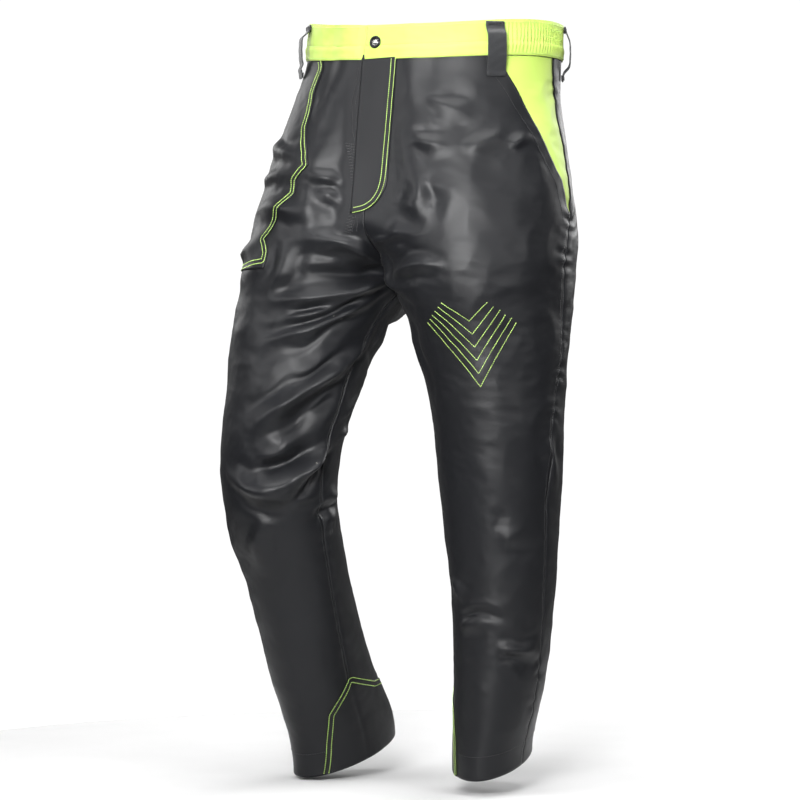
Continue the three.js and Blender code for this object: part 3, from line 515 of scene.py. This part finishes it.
add_twill(satin, 0.004, 0.25)
PANEL_ROWS = 290
for side in SIDES:
    hem = HEM[side]
    depths = np.linspace(43, hem, PANEL_ROWS)
    seam = curve(*SIDE_SEAM, depths) - 0.1
    mouth = np.where(depths < 277, np.minimum(curve(*POCKET_MOUTH, depths), seam), seam)
    front = cloth_piece(
        "front_panel_" + side, side, depths, between(first_angle(depths, 8), mouth, 120), 0, -1.4, satin,
        "outer_cloth", ["front_panel_" + side],
    )
    back = cloth_piece(
        "back_panel_" + side, side, depths, between(seam + 0.2, 360 - first_angle(depths, 0), 110), 0, -1.4,
        satin, "outer_cloth", ["back_panel_" + side],
    )

# ---- Hems ----
# The leg ends are turned up inside 36 mm and stitched round.
for side in SIDES:
    depths = np.linspace(HEM[side] - 36, HEM[side] + 0.6, 16)
    cloth_piece(
        "hem_" + side, side, depths, between(0.15 + 0 * depths, 359.85 + 0 * depths, 200), -1.7, -2.9, satin,
        "outer_cloth", ["hem_" + side],
    )

# ---- Cut pads ----
# A stack of loose knitted polyester and polyethylene fibre layers, quilted together, that clogs the saw
# chain. Each hangs between the front panel and the lining, from above the crotch to 50 mm above the hem.
pad_felt = surface_material("pad_fibre", (0.72, 0.70, 0.62), (0.60, 0.58, 0.50), 0.9, 500, 0.5, 0.3)
for side in SIDES:
    depths = np.linspace(140, HEM[side] - 50, 150)
    start = np.where(depths < 290, curve([140, 262, 300], [110, 66, 30], depths), 12)
    stop_high = curve([140, 230, 300], [134, 160, 172], depths)
    stop = np.where(depths < 300, stop_high, curve(*SIDE_SEAM, depths) - 16)
    angles = between(start, stop, 60)
    quilt = np.abs(np.sin(depths[:, None] * pi / 42)) ** 0.35 * np.abs(np.sin(angles * pi / 24)) ** 0.35
    quilt = 0.45 + 0.55 * quilt
    rows = depths[:, None] + 0 * angles
    outer = on_cloth(side, rows, angles, -3.2 - 1.2 * (1 - quilt))
    inner = on_cloth(side, rows, angles, -8.0 + 1.2 * (1 - quilt))
    pad = shell("cut_pad_" + side, outer, inner, pad_felt, np.stack([angles * 1.7, rows], -1))
    sew_in(pad, "pad_fibre", "cut_pad_" + side)

# ---- Linings ----
# Thin polyester mesh inside each leg, sewn in at the waistband and above the hem.
mesh_cloth = surface_material("lining_mesh", (0.05, 0.052, 0.056), (0.03, 0.031, 0.034), 0.8, 1400, 0.6)
for side in SIDES:
    depths = np.linspace(51, HEM[side] - 50, 120)
    around = between(first_angle(depths, 4), 360 - first_angle(depths, 0), 120)
    lining = cloth_piece(
        "lining_" + side, side, depths, around, -8.4, -9.2, mesh_cloth, "lining_mesh", ["lining_" + side],
    )

# ---- Hip pockets: lime facings and bags ----
# The slanted mouth shows a lime facing that runs on inside the pocket; behind it hangs a bag of plain cotton.
lime = surface_material("lime_cloth", (0.58, 0.78, 0.15), (0.51, 0.72, 0.115), 0.62, 800, 0.15, 0.15)
add_twill(lime, 0.004, 0.2)
bag_cotton = surface_material("pocket_cotton", (0.14, 0.145, 0.15), (0.11, 0.115, 0.12), 0.9, 900, 0.3)
for side in SIDES:
    depths = np.linspace(51, 285, 80)
    seam = curve(*SIDE_SEAM, depths) - 0.2
    mouth = np.minimum(curve(*POCKET_MOUTH, depths), seam)
    cloth_piece(
        "pocket_facing_" + side, side, depths, between(mouth - 16, seam, 40), -1.7, -2.8, lime,
        "lime_cloth", ["pocket_facing_" + side],
    )
    cloth_piece(
        "pocket_bag_" + side, side, depths, between(mouth - 36, seam - 1, 40), -3.1, -4.0, bag_cotton,
        "pocket_cloth", ["pocket_bag_" + side],
    )

# ---- Hip patch on the right thigh ----
# A second layer of the outer cloth from the waistband to the thigh. Its front edge steps inward twice and
# is sewn down with two rows of thick lime thread; the same thread is used for all the trousers' visible
# seams.
lime_thread = surface_material("lime_thread", (0.60, 0.86, 0.22), (0.50, 0.76, 0.15), 0.5, 2500, 0.5, 0.2)
black_thread = surface_material(
    "black_thread", (0.012, 0.012, 0.014), (0.02, 0.02, 0.022), 0.45, 2500, 0.5, 0.2,
)


def stitches(name, runs, material, pitch=2.7, length=2.15, radius=0.55, body="trousers"):
    """Rows of thread stitches; each run is (points, outward directions) in mm, a stitch every pitch."""
    ends = np.array([(-0.5, 0.45), (-0.3, 1.0), (0.3, 1.0), (0.5, 0.45)])
    turn = np.arange(6) * pi / 3
    all_points, all_faces, count = [], [], 0
    template = [
        (i * 6 + j, i * 6 + (j + 1) % 6, (i + 1) * 6 + (j + 1) % 6, (i + 1) * 6 + j)
        for i in range(3) for j in range(6)
    ]
    template += [tuple(range(5, -1, -1)), tuple(range(18, 24))]
    for points, out in runs:
        steps = np.linalg.norm(np.diff(points, axis=0), axis=1)
        at = np.concatenate([[0], np.cumsum(steps)])
        middles = np.arange(pitch / 2, at[-1], pitch)

        def along(values, where):
            return np.stack([np.interp(where, at, values[:, k]) for k in range(3)], 1)
        centre = along(points, middles)
        forward = along(points, middles + pitch * 0.3) - along(points, middles - pitch * 0.3)
        forward /= np.maximum(np.linalg.norm(forward, axis=1, keepdims=True), 1e-9)
        up = along(out, middles)
        up /= np.linalg.norm(up, axis=1, keepdims=True)
        sideways = np.cross(forward, up)
        for c, f, s, u in zip(centre, forward, sideways, up):
            for t, thick in ends:
                for a in turn:
                    offset = f * t * length + (s * cos(a) + u * (sin(a) * 0.75)) * radius * thick
                    all_points.append(c + offset + u * radius * (0.45 if thick == 1 else -0.1))
            all_faces += [tuple(count + v for v in face) for face in template]
            count += 24
    obj = mesh_object(name, np.array(all_points) / 1000, all_faces)
    obj.data.materials.append(material)
    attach(obj, body)
    return obj


def run_on_cloth(side, line, outward, beside=0.0, round_corners=True):
    """A line on the folded cloth through (angle, depth) points, shifted sideways by a distance in mm."""
    line = np.array(line, float)
    length = np.concatenate([[0], np.cumsum(np.hypot(np.diff(line[:, 0]) * 1.8, np.diff(line[:, 1])))])
    dense = np.arange(0, length[-1], 1.0)
    angle, depth = np.interp(dense, length, line[:, 0]), np.interp(dense, length, line[:, 1])
    if round_corners and len(dense) > 9:
        soft = np.ones(5) / 5
        angle = np.concatenate([angle[:2], np.convolve(angle, soft, "valid"), angle[-2:]])
        depth = np.concatenate([depth[:2], np.convolve(depth, soft, "valid"), depth[-2:]])
    points = on_cloth(side, depth, angle, outward)
    out = on_cloth(side, depth, angle, outward + 1) - points
    forward = np.gradient(points, axis=0)
    sideways = np.cross(forward, out)
    sideways /= np.maximum(np.linalg.norm(sideways, axis=1, keepdims=True), 1e-9)
    return points + sideways * beside, out


HIP_EDGE = [
    (126, 51), (124, 61), (124, 99), (119, 146), (116, 161), (110, 181), (105, 201), (110, 219), (107, 237),
    (113, 285), (117, 297), (108, 315), (106, 327),
]
depths = np.linspace(51, 337, 110)
front_edge = np.interp(depths, [p[1] for p in HIP_EDGE], [p[0] for p in HIP_EDGE]) - 2.2
beside_mouth = np.where(depths < 277, curve(*POCKET_MOUTH, depths) - 3, 999)
rear_edge = np.minimum(curve(*SIDE_SEAM, depths) - 5, beside_mouth)
cloth_piece(
    "hip_patch_right", "right", depths, between(front_edge, rear_edge, 70), 1.3, 0.15, satin, "outer_cloth",
    ["hip_patch_right"],
)
hip_line = [*HIP_EDGE, (145, 333), (180, 334)]
rows = [run_on_cloth("right", hip_line, 1.3, b) for b in (-3, 3)]
stitches("hip_patch_stitches", rows, lime_thread)

# ---- Inner ankle patches ----
# Scuff guards of the same cloth on the inside of each ankle, sewn with two rows of lime thread.
ANKLE_EDGE = [(-66, 78), (-36, 87), (-3, 109), (0, 108), (30, 74), (40, 38), (47, 0)]
for side in SIDES:
    hem = HEM[side]
    share, across = np.meshgrid(np.linspace(0, 1, 44), np.linspace(0, 1, 60), indexing="ij")
    forward_edge = np.interp(share * 112, [0, 38, 74, 108, 112], [49, 42, 32, 2, -1])
    angles = -72 + across * (forward_edge + 72)
    rows = hem - share * np.interp(angles, [-72, -36, -3], [80, 92, 112])
    faces = [on_cloth(side, rows[::-1], angles[::-1], shift) for shift in (1.3, 0.15)]
    patch = shell("ankle_patch_" + side, *faces, satin, np.stack([angles * 1.7, rows], -1)[::-1])
    sew_in(patch, "outer_cloth", "ankle_patch_" + side)
    line = [(a, hem - up) for a, up in ANKLE_EDGE]
    rows = [run_on_cloth(side, line, 1.3, b) for b in (-3.3, 3.3)]
    stitches("ankle_patch_stitches_" + side, rows, lime_thread)

# ---- Seams of the legs ----
# Outside seams and inseams are felled and topstitched in black; the pocket mouths have a welt stitched 14
# mm in.
for side in SIDES:
    hem = HEM[side]
    seam = [(float(curve(*SIDE_SEAM, d)) - 3.2, d) for d in np.linspace(284, hem - 2, 60)]
    inseam = [(3.0, d) for d in np.linspace(352, hem - 2, 40)]
    hem_round = [[(a, hem - 30) for a in np.linspace(0, 360, 60)]]
    rows = [run_on_cloth(side, line, 0) for line in (seam, inseam, *hem_round)]
    mouth = [(float(curve(*POCKET_MOUTH, d)), d) for d in np.linspace(53, 276, 40)]
    rows += [run_on_cloth(side, [(a - before, d) for a, d in mouth], 0) for before in (7.5, 1.2)]
    stitches("seam_stitches_" + side, rows, black_thread, pitch=3.2, length=2.4, radius=0.4)

# ---- Stitched pattern on the left thigh ----
# Six nested chevrons of lime thread hold the pad's upper layers together.
rows = []
for k in range(6):
    low, half, top = 494 - 17 * k, 34 - 3.6 * k, 410 - 5 * k
    rows.append(run_on_cloth("left", [(104 - half, top), (104, low), (104 + half, top)], 0, 0, False))
stitches("thigh_chevrons", rows, lime_thread, radius=0.5)

# ---- Waistband ----
# Two strips of lime twill on a mesh lining, 50 mm high, joined behind; the left end laps over the right one
# and is held by a button. Elastic at each hip gathers it. The band is topstitched and sewn to the trousers
# in a ridge.
def on_waist(depth, around, outward):
    """Band surface; around is the angle from the front, positive toward the wearer's left, 180 behind."""
    left = on_cloth("left", depth, 90 + np.abs(around), 0 * depth)
    right = on_cloth("right", depth, 90 + np.abs(around), 0 * depth)
    points = np.where((around >= 0)[..., None], left, right)
    heading = np.arctan2(points[..., 1], points[..., 0])
    out = np.stack([np.cos(heading), np.sin(heading), 0 * heading], -1)
    return points + out * outward[..., None]


def band_shape(depth, around):
    """Relief of the band: rolled edges, a ridge where it is sewn on, gathers over the elastic, dents."""
    edge = -1.1 * np.exp(-((depth / 3.5) ** 2)) - 0.9 * np.exp(-(((depth - 50) / 2.5) ** 2))
    ridge = 0.9 * np.exp(-(((depth - 36) / 5.0) ** 2)) - 0.7 * np.exp(-(((depth - 31) / 1.6) ** 2))
    gathered = ease((np.abs(around) - 52) / 8) * (1 - ease((np.abs(around) - 104) / 8))
    wander = 0.6 * np.sin(depth * 0.13 + around * 0.7)
    pleats = gathered * np.sin(around * 2.9 + wander) * np.sin(depth * pi / 50)
    where = np.stack([around * 3.2, depth, 0 * depth], -1)
    return edge + ridge + pleats + 0.5 * noise(where, 46, 21) + 0.2 * noise(where, 17, 22)


depths = np.linspace(-0.3, 50.5, 44)
gathers = dict(left=(-5, 179.9), right=(-179.9, 7.8))
for side, (first, last) in gathers.items():
    around = np.linspace(first, last, 420)[None, :] + 0 * depths[:, None]
    rows = depths[:, None] + 0 * around
    under = ease((around + 10) / 4) if side == "right" else 0 * around
    relief = band_shape(rows, around) * (1 - 0.8 * under)
    outer = on_waist(rows, around, 2.3 + relief - 2.5 * under)
    inner = on_waist(rows, around, 0.4 + relief * 0.6 - 1.9 * under)
    strip = shell("waistband_" + side, outer, inner, lime, np.stack([around * 3.2, rows], -1))
    sew_in(strip, "lime_cloth", "waistband_" + side)

around = np.linspace(-176, 176, 500)[None, :] + 0 * depths[:, None]
around = np.where(np.abs(around) < 4, np.sign(around) * 4, around)
rows = depths[:, None] + 0 * around
lined = shell(
    "waistband_lining", on_waist(rows, around, 0 * rows - 2.2), on_waist(rows, around, 0 * rows - 3.2),
    mesh_cloth, np.stack([around * 3.2, rows], -1),
)
sew_in(lined, "lining_mesh", "waistband_lining")

# The elastic: a ribbed woven tape between band and lining, stretched when it was sewn in with zigzag rows.
tape_white = surface_material("elastic_tape", (0.78, 0.78, 0.74), (0.66, 0.66, 0.62), 0.75, 700, 0.6, 0.2)
for side, s in SIDES.items():
    around = np.linspace(60, 106, 220)[None, :] * s + 0 * depths[6:34, None]
    rows = depths[6:34, None] + 0 * around
    ribs = 0.25 * np.sin(around * 3.2 * 2.1)
    tape = shell(
        "waist_elastic_" + side, on_waist(rows, around, -0.35 + ribs), on_waist(rows, around, -1.4 + ribs),
        tape_white, np.stack([around * 3.2, rows], -1),
    )
    sew_in(tape, "elastic", "waist_elastic_" + side)


def band_run(first, last, depth_at, outward):
    """A line on the band between two angles, as points and outward directions."""
    around = np.linspace(first, last, int(abs(last - first) * 4) + 2)
    depth = depth_at(around)
    lift = outward + band_shape(depth, around)
    points = on_waist(depth, around, lift)
    return points, on_waist(depth, around, lift + 1) - points


def level(height):
    return lambda around: height + 0 * around


rows = [band_run(-4, 179, level(d), 2.3) for d in (4.5, 31, 47.5)]
rows += [band_run(-179, -7, level(d), 2.3) for d in (4.5, 31, 47.5)]
rows += [band_run(-4.4, -4.4 + 0.02, lambda a: np.linspace(5, 46, len(a)), 2.3)]
for first in (62, -104):
    for d in (13, 23):
        zigzag = lambda around, d=d: d + 3.2 * (np.abs((around * 1.1) % 2 - 1) * 2 - 1)
        rows.append(band_run(first, first + 42, zigzag, 2.3))
stitches("waistband_stitches", rows, lime_thread, pitch=2.9, length=2.1, radius=0.42)

# ---- Belt loops ----
# Five straps of black webbing, 25 mm wide, folded under at both ends and bar-tacked through band and
# trousers.
webbing = surface_material("webbing", (0.014, 0.015, 0.017), (0.024, 0.025, 0.028), 0.62, 1100, 0.7, 0.25)
add_twill(webbing, 0.0026, 0.6)
LOOPS = dict(front_left=53, front_right=-53, side_left=112, side_right=-112, back=180)
for name, around in LOOPS.items():
    side = "left" if around >= 0 else "right"
    angle = 90 + abs(around)
    rest = smooth_face(side, np.array([25.0]), np.array([float(angle)]))[0]
    turn = smooth_face(side, np.array([25.0, 25.0]), np.array([angle - 1.0, angle + 1.0]))
    flat_way = turn[1] - turn[0]
    flat_way[2] = 0
    flat_way /= np.linalg.norm(flat_way)
    out = np.array([-flat_way[1], flat_way[0], 0.0])
    out *= np.sign(out @ rest)
    low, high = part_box("belt_loop_" + name)

    def seat(depth):
        """How far out the trousers reach under the loop at this depth, in mm."""
        beside = [smooth_face(side, np.array([depth]), np.array([angle + k]))[0] for k in (-4.0, 0.0, 4.0)]
        return max(float(point @ out) for point in beside)

    on_band = max(seat(2.0), seat(10.0)) + 2.9
    middle = max(seat(0.0), seat(50.0)) + 2.3 + 7
    on_front = max(seat(62.0), seat(70.0), seat(78.0)) + 0.5 + (1.5 if name == "front_right" else 0)
    top = high[2] * 1000
    path = np.array([
        (on_band, -8), (on_band - 0.2, -1.5), (on_band + 1.2, 0.2), (on_band + 2.6, -1.5),
        (on_band + 3.0, -6), (on_band + 4.6, -11), (middle + 1.0, -17), (middle + 2.2, -24),
        (middle + 2.5, -36), (middle + 2.0, -48), (middle + 0.6, -55), (on_front + 4.4, -61),
        (on_front + 2.9, -65.5), (on_front + 2.6, -71), (on_front + 1.4, -74), (on_front, -72.6),
        (on_front - 0.1, -66),
    ])
    length = np.concatenate([[0], np.cumsum(np.hypot(*np.diff(path, axis=0).T))])
    fine = np.linspace(0, length[-1], 90)
    spine = np.stack([np.interp(fine, length, path[:, k]) for k in (0, 1)], 1)
    for _ in range(3):
        spine[1:-1] = (spine[:-2] + 2 * spine[1:-1] + spine[2:]) / 4
    along = np.gradient(spine, axis=0)
    along /= np.linalg.norm(along, axis=1, keepdims=True)
    lift = np.stack([-along[:, 1], along[:, 0]], 1)
    across = np.linspace(-12.5, 12.5, 21)
    bow = 0.35 * np.cos(across / 12.5 * pi / 2)[None, :] + 0.12 * np.sin(fine[:, None] * 0.5 + across * 0.3)
    grids = []
    for thick in (0.0, -1.5):
        drop = thick + bow - 0.35 * (np.abs(across) > 12)[None, :] * (1 if thick == 0 else -1)
        flat = spine[:, None, :] + lift[:, None, :] * drop[..., None]
        points = flat[..., :1] * out + flat_way * (across[None, :, None] + rest @ flat_way)
        points[..., 2] = top + flat[..., 1]
        grids.append(points)
    uv = np.stack([across[None, :] + 0 * fine[:, None], fine[:, None] + 0 * across[None, :]], -1)
    loop = shell("belt_loop_" + name, *grids, webbing, uv)
    sew_in(loop, "webbing", "belt_loop_" + name)
    tacks = []
    for at in (5, 69):
        folded_under = 10 * (spine[:, 0] < spine[:, 0].min() + 1)
        k = int(np.argmin(np.abs(spine[:, 1] + at) + folded_under))
        for row in (-1.2, 0.2, 1.6):
            u = np.linspace(-11, 11, 60)
            points = (spine[k, 0] + 0.5) * out + flat_way * (u[:, None] + rest @ flat_way)
            points[:, 2] = top + spine[k, 1] + row + 0.6 * np.sign(np.sin(u * 2.6))
            tacks.append((points, np.tile(out, (60, 1))))
    stitches("belt_loop_tacks_" + name, tacks, black_thread, pitch=1.5, length=1.7, radius=0.4)

# ---- Fly ----
# Cut on the flat of the front: the placket is a doubled strip of the outer cloth, lapped left over right
# and sewn down along a J of two lime rows; a zip on woven tapes and a shield lie behind it.
FLY_UP = np.array([0, FRONT_SLOPE, 1]) / np.hypot(1, FRONT_SLOPE)
FLY_OUT = np.array([0, -1, FRONT_SLOPE]) / np.hypot(1, FRONT_SLOPE)


def on_fly(across, up, outward):
    """Points of the flat fly area in mm: across from the middle, up along it, outward from the panels."""
    across, up, outward = np.broadcast_arrays(across, up, outward)
    return (
        across[..., None] * np.array([1.0, 0, 0]) + up[..., None] * FLY_UP + outward[..., None] * FLY_OUT
        + np.array([0, -139.0, 0])
    )


def fly_piece(name, left, right, ups, outer, inner, material, slot, relief=0.0):
    """A flat piece of the fly kit between two edges given for each height, with slightly uneven faces."""
    across = between(left + 0 * ups, right + 0 * ups, 28)
    up = ups[:, None] + 0 * across
    where = on_fly(across, up, 0 * up)
    rim = np.minimum(np.abs(across - left), np.abs(across - np.asarray(right + 0 * ups)[:, None]))
    wave = relief * (noise(where, 70, 31) - 1.6 * np.exp(-((rim / 1.6) ** 2)))
    faces = (on_fly(across, up, outer + wave), on_fly(across, up, inner + wave))
    obj = shell(name, *faces, material, np.stack([across, -up], -1))
    sew_in(obj, slot, name)
    return obj


FLY_TOP, FLY_END = -64.3, -268.0
ups = np.linspace(FLY_END, -61.8, 90)
turn = np.clip((FLY_END + 44 - ups) / 44, 0, 1)
placket_edge = 33 - 52 * (1 - np.sqrt(np.clip(1 - turn**2, 0, 1)))
fly_piece("fly_placket", -21, placket_edge, ups, 1.9, 0.4, satin, "outer_cloth", 0.5)
j_line = np.array([
    (29.5, -63.5), (29.0, -140.0), (27.5, -222.0), (24, -240.0), (15, -254.0), (2, -262.0), (-17, -264.5),
])
length = np.concatenate([[0], np.cumsum(np.hypot(*np.diff(j_line, axis=0).T))])
fine = np.linspace(0, length[-1], 230)
middle = np.stack([np.interp(fine, length, j_line[:, k]) for k in (0, 1)], 1)
for _ in range(60):
    middle[1:-1] = (middle[:-2] + 2 * middle[1:-1] + middle[2:]) / 4
across = np.gradient(middle, axis=0)[:, ::-1] * (1, -1)
across /= np.linalg.norm(across, axis=1, keepdims=True)
rows = []
for beside in (-3.2, 3.2):
    line = middle + across * beside
    points = on_fly(line[:, 0], line[:, 1], 1.9 + 0 * line[:, 0])
    points += FLY_OUT * (0.5 * noise(points, 70, 31))[:, None]
    rows.append((points, np.tile(FLY_OUT, (len(points), 1))))
stitches("placket_stitches", rows, lime_thread)

# The right front beside the fly carries two black rows that close into a zigzag toward the crotch.
line = [(97, 62), (96, 110), (90, 150), (78, 198), (66, 246), (57, 290)]
rows = [run_on_cloth("right", line, 0, b) for b in (-2.8, 2.8)]
down = np.linspace(170, 292, 62)
at = np.interp(down, [62, 110, 150, 198, 246, 292], [101, 100, 94, 82, 70, 61])
zigzag = [(a + 2.4 * (-1) ** k, d) for k, (a, d) in enumerate(zip(at, down))]
rows.append(run_on_cloth("right", zigzag, 0, 0, False))
stitches("right_front_stitches", rows, black_thread, pitch=2.8, length=2.2, radius=0.45)

for side, s in SIDES.items():
    first, last = sorted((8 * s, 25 * s))
    ups = np.linspace(-254, -65.3, 60)
    fly_piece("fly_facing_" + side, first, last, ups, -2.2, -3.4, satin, "outer_cloth")
    first, last = sorted((4.2 * s, 18 * s))
    ups = np.linspace(-248, -66, 120)
    fly_piece("zip_tape_" + side, first, last, ups, -3.7, -4.5, webbing, "webbing")
fly_piece("fly_shield", -24, 24, np.linspace(-262, FLY_TOP, 60), -7.0, -7.8, satin, "outer_cloth")

# ---- Zip metal and waist button ----
# The chain, its stops and the slider are brass plated grey. The button is a black lacquered ring with a
# bright centre, riveted to its tack through the right-hand band.
grey_metal = surface_material("plated_brass", (0.42, 0.43, 0.45), (0.30, 0.30, 0.31), 0.30, 600, 0.2, 0, 1.0)
dark_metal = surface_material(
    "lacquered_metal", (0.012, 0.012, 0.013), (0.03, 0.03, 0.032), 0.28, 500, 0.2, 0, 0.6,
)
bright_metal = surface_material(
    "polished_metal", (0.80, 0.80, 0.78), (0.62, 0.62, 0.6), 0.22, 500, 0.15, 0, 1.0,
)
for name in (
    "zip_teeth_left", "zip_teeth_right", "zip_stop_top_left", "zip_stop_top_right", "zip_stop_bottom",
    "zip_slider", "zip_pull_tab",
):
    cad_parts[name].data.materials.clear()
    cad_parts[name].data.materials.append(grey_metal)
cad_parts["waist_button_tack"].data.materials.clear()
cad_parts["waist_button_tack"].data.materials.append(bright_metal)


def turned(name, profile, material):
    """A turned piece on the button's axis; the profile is (radius, height out from the panels) in mm."""
    turn = np.arange(48) * 2 * pi / 48
    button_up = -40 * np.hypot(1, FRONT_SLOPE)
    points = [
        on_fly(np.array(r * cos(a)), np.array(r * sin(a) + button_up), np.array(float(h))) / 1000
        for r, h in profile for a in turn
    ]
    count = len(profile)
    faces = [
        (i * 48 + j, i * 48 + (j + 1) % 48, ((i + 1) % count) * 48 + (j + 1) % 48, ((i + 1) % count) * 48 + j)
        for i in range(count) for j in range(48)
    ]
    obj = mesh_object(name, points, faces)
    obj.data.materials.append(material)
    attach(obj, "button")
    return obj


ring_profile = [
    (4.4, 3.1), (6.6, 2.7), (7.9, 2.8), (8.45, 3.3), (8.5, 4.2), (8.2, 5.0), (7.4, 5.4), (6.4, 5.4),
    (5.4, 5.0), (4.7, 4.3),
]
centre_profile = [
    (0.01, 3.3), (4.9, 3.3), (4.95, 3.9), (3.9, 4.2), (2.9, 4.2), (2.5, 4.9), (1.6, 5.3), (0.01, 5.4),
]
button_ring = turned("waist_button_ring", ring_profile, dark_metal)
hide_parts("waist_button_cap")
turned("waist_button_centre", centre_profile, bright_metal)
shank_profile = [(1.35, 0.3), (1.7, 0.3), (1.75, 3.4), (1.35, 3.4)]
turned("waist_button_shank", shank_profile, dark_metal)
hole = [(-2.6 + 15.6 * t, 2.4 * k) for k in (-1, 1) for t in ((0, 1) if k < 0 else (1, 0))]
rows = []
for (u0, v0), (u1, v1) in zip(hole, hole[1:] + hole[:1]):
    t = np.linspace(0, 1, 30)
    u, v = u0 + (u1 - u0) * t, v0 + (v1 - v0) * t - 40
    points = on_fly(u, v - 0.4, 2.55 + 0 * u)
    rows.append((points, np.tile(FLY_OUT, (30, 1))))
stitches("buttonhole_stitches", rows, lime_thread, pitch=0.95, length=1.9, radius=0.42)

# ---- Back pocket and flap ----
# A patch pocket with a pointed foot on the right seat, edge-stitched, and a stiffened flap sewn on above
# its mouth that lifts about its top edge.
POCKET_AT = 242
depths = np.linspace(118, 258, 60)


def seat_scale(depths):
    """How many mm of the seat one degree spans at the pocket."""
    nearby = [smooth_face("right", depths, POCKET_AT + turn) for turn in (9.0, -9.0)]
    return np.linalg.norm(nearby[0] - nearby[1], axis=1) / 18


def pocket_rows(depths, half, count):
    """Angles across a strip of the seat that reaches half (mm) to either side of the pocket's middle."""
    scale = seat_scale(depths)
    return between(POCKET_AT - half / scale, POCKET_AT + half / scale, count)


angles = pocket_rows(depths, 56 + 0 * depths, 50)
foot = 258 - 18 * np.abs(np.linspace(-1, 1, 50))[None, :]
share = (depths[:, None] - 118) / 140
rows = 118 + share * (foot - 118)
slack = 2.2 * np.sin(np.clip(share, 0, 1) * pi) * np.cos(np.linspace(-1, 1, 50) * pi / 2)[None, :]
mouth_roll = 0.9 * np.exp(-(((rows - 121) / 3) ** 2))
pocket = shell(
    "back_pocket_right", on_cloth("right", rows, angles, 1.6 + slack + mouth_roll),
    on_cloth("right", rows, angles, 0.2 + 0.8 * slack), satin, np.stack([angles * 2.6, rows], -1),
)
sew_in(pocket, "outer_cloth", "back_pocket_right")

depths = np.linspace(106.6, 150, 40)
taper = 58 - 9 * ease((depths - 141) / 9)
angles = pocket_rows(depths, taper, 50)
rows = depths[:, None] + 0 * angles
rows = rows - 0.023 * smooth_face("right", rows, angles)[..., 0] * (150 - rows) / 44  # a level top edge
lip = 0.7 * np.exp(-(((rows - 148.5) / 2) ** 2)) + 0.5 * np.exp(-(((rows - rows[:1] - 1) / 2) ** 2))
under = 3.4 + 0.8 * ease((rows - rows[:1] - 2) / 14)
under = under + 0.6 * noise(np.stack([angles * 2.6, rows, 0 * rows], -1), 60, 41)
flap = shell(
    "back_pocket_flap", on_cloth("right", rows, angles, under + 1.6 + lip),
    on_cloth("right", rows, angles, under), satin, np.stack([angles * 2.6, rows], -1),
)
sew_in(flap, "outer_cloth", "back_pocket_flap", body="pocket_flap")


def pocket_run(points_at, outward):
    """A stitched line on the pocket through (across in mm, depth) points."""
    line = np.array(points_at, float)
    length = np.concatenate([[0], np.cumsum(np.hypot(*np.diff(line, axis=0).T))])
    fine = np.arange(0, length[-1], 1.0)
    across, depth = np.interp(fine, length, line[:, 0]), np.interp(fine, length, line[:, 1])
    angle = POCKET_AT + across / seat_scale(depth)
    lift = outward(across, depth)
    points = on_cloth("right", depth, angle, lift)
    return points, on_cloth("right", depth, angle, lift + 1) - points


def on_pocket(across, depth):
    """How far the pocket's face stands off the seat, in mm."""
    inside = np.clip((depth - 118) / (258 - 18 * np.abs(across) / 56 - 118), 0, 1)
    return 1.7 + 2.2 * np.sin(inside * pi) * np.cos(np.clip(across / 56, -1, 1) * pi / 2)


rows = []
for inward in (0, 6.5):
    half, side_foot, foot = 53 - inward, 237 - inward * 0.7, 254 - inward * 1.2
    outline = [(-half, 119), (-half, side_foot), (0, foot), (half, side_foot), (half, 119)]
    rows.append(pocket_run(outline, on_pocket))
stitches("back_pocket_stitches", rows, lime_thread)


def on_flap(across, depth):
    """How far the flap's face stands off the seat, in mm."""
    return 4.6 + 1.4 * ease((depth - 108) / 14)


rows = [pocket_run([(-55, 113), (-55, 139), (-46, 147), (46, 147), (55, 139), (55, 113)], on_flap)]
rows.append(pocket_run([(-55, 113), (55, 113)], on_flap))
stitches("pocket_flap_stitches", rows, black_thread, body="pocket_flap")
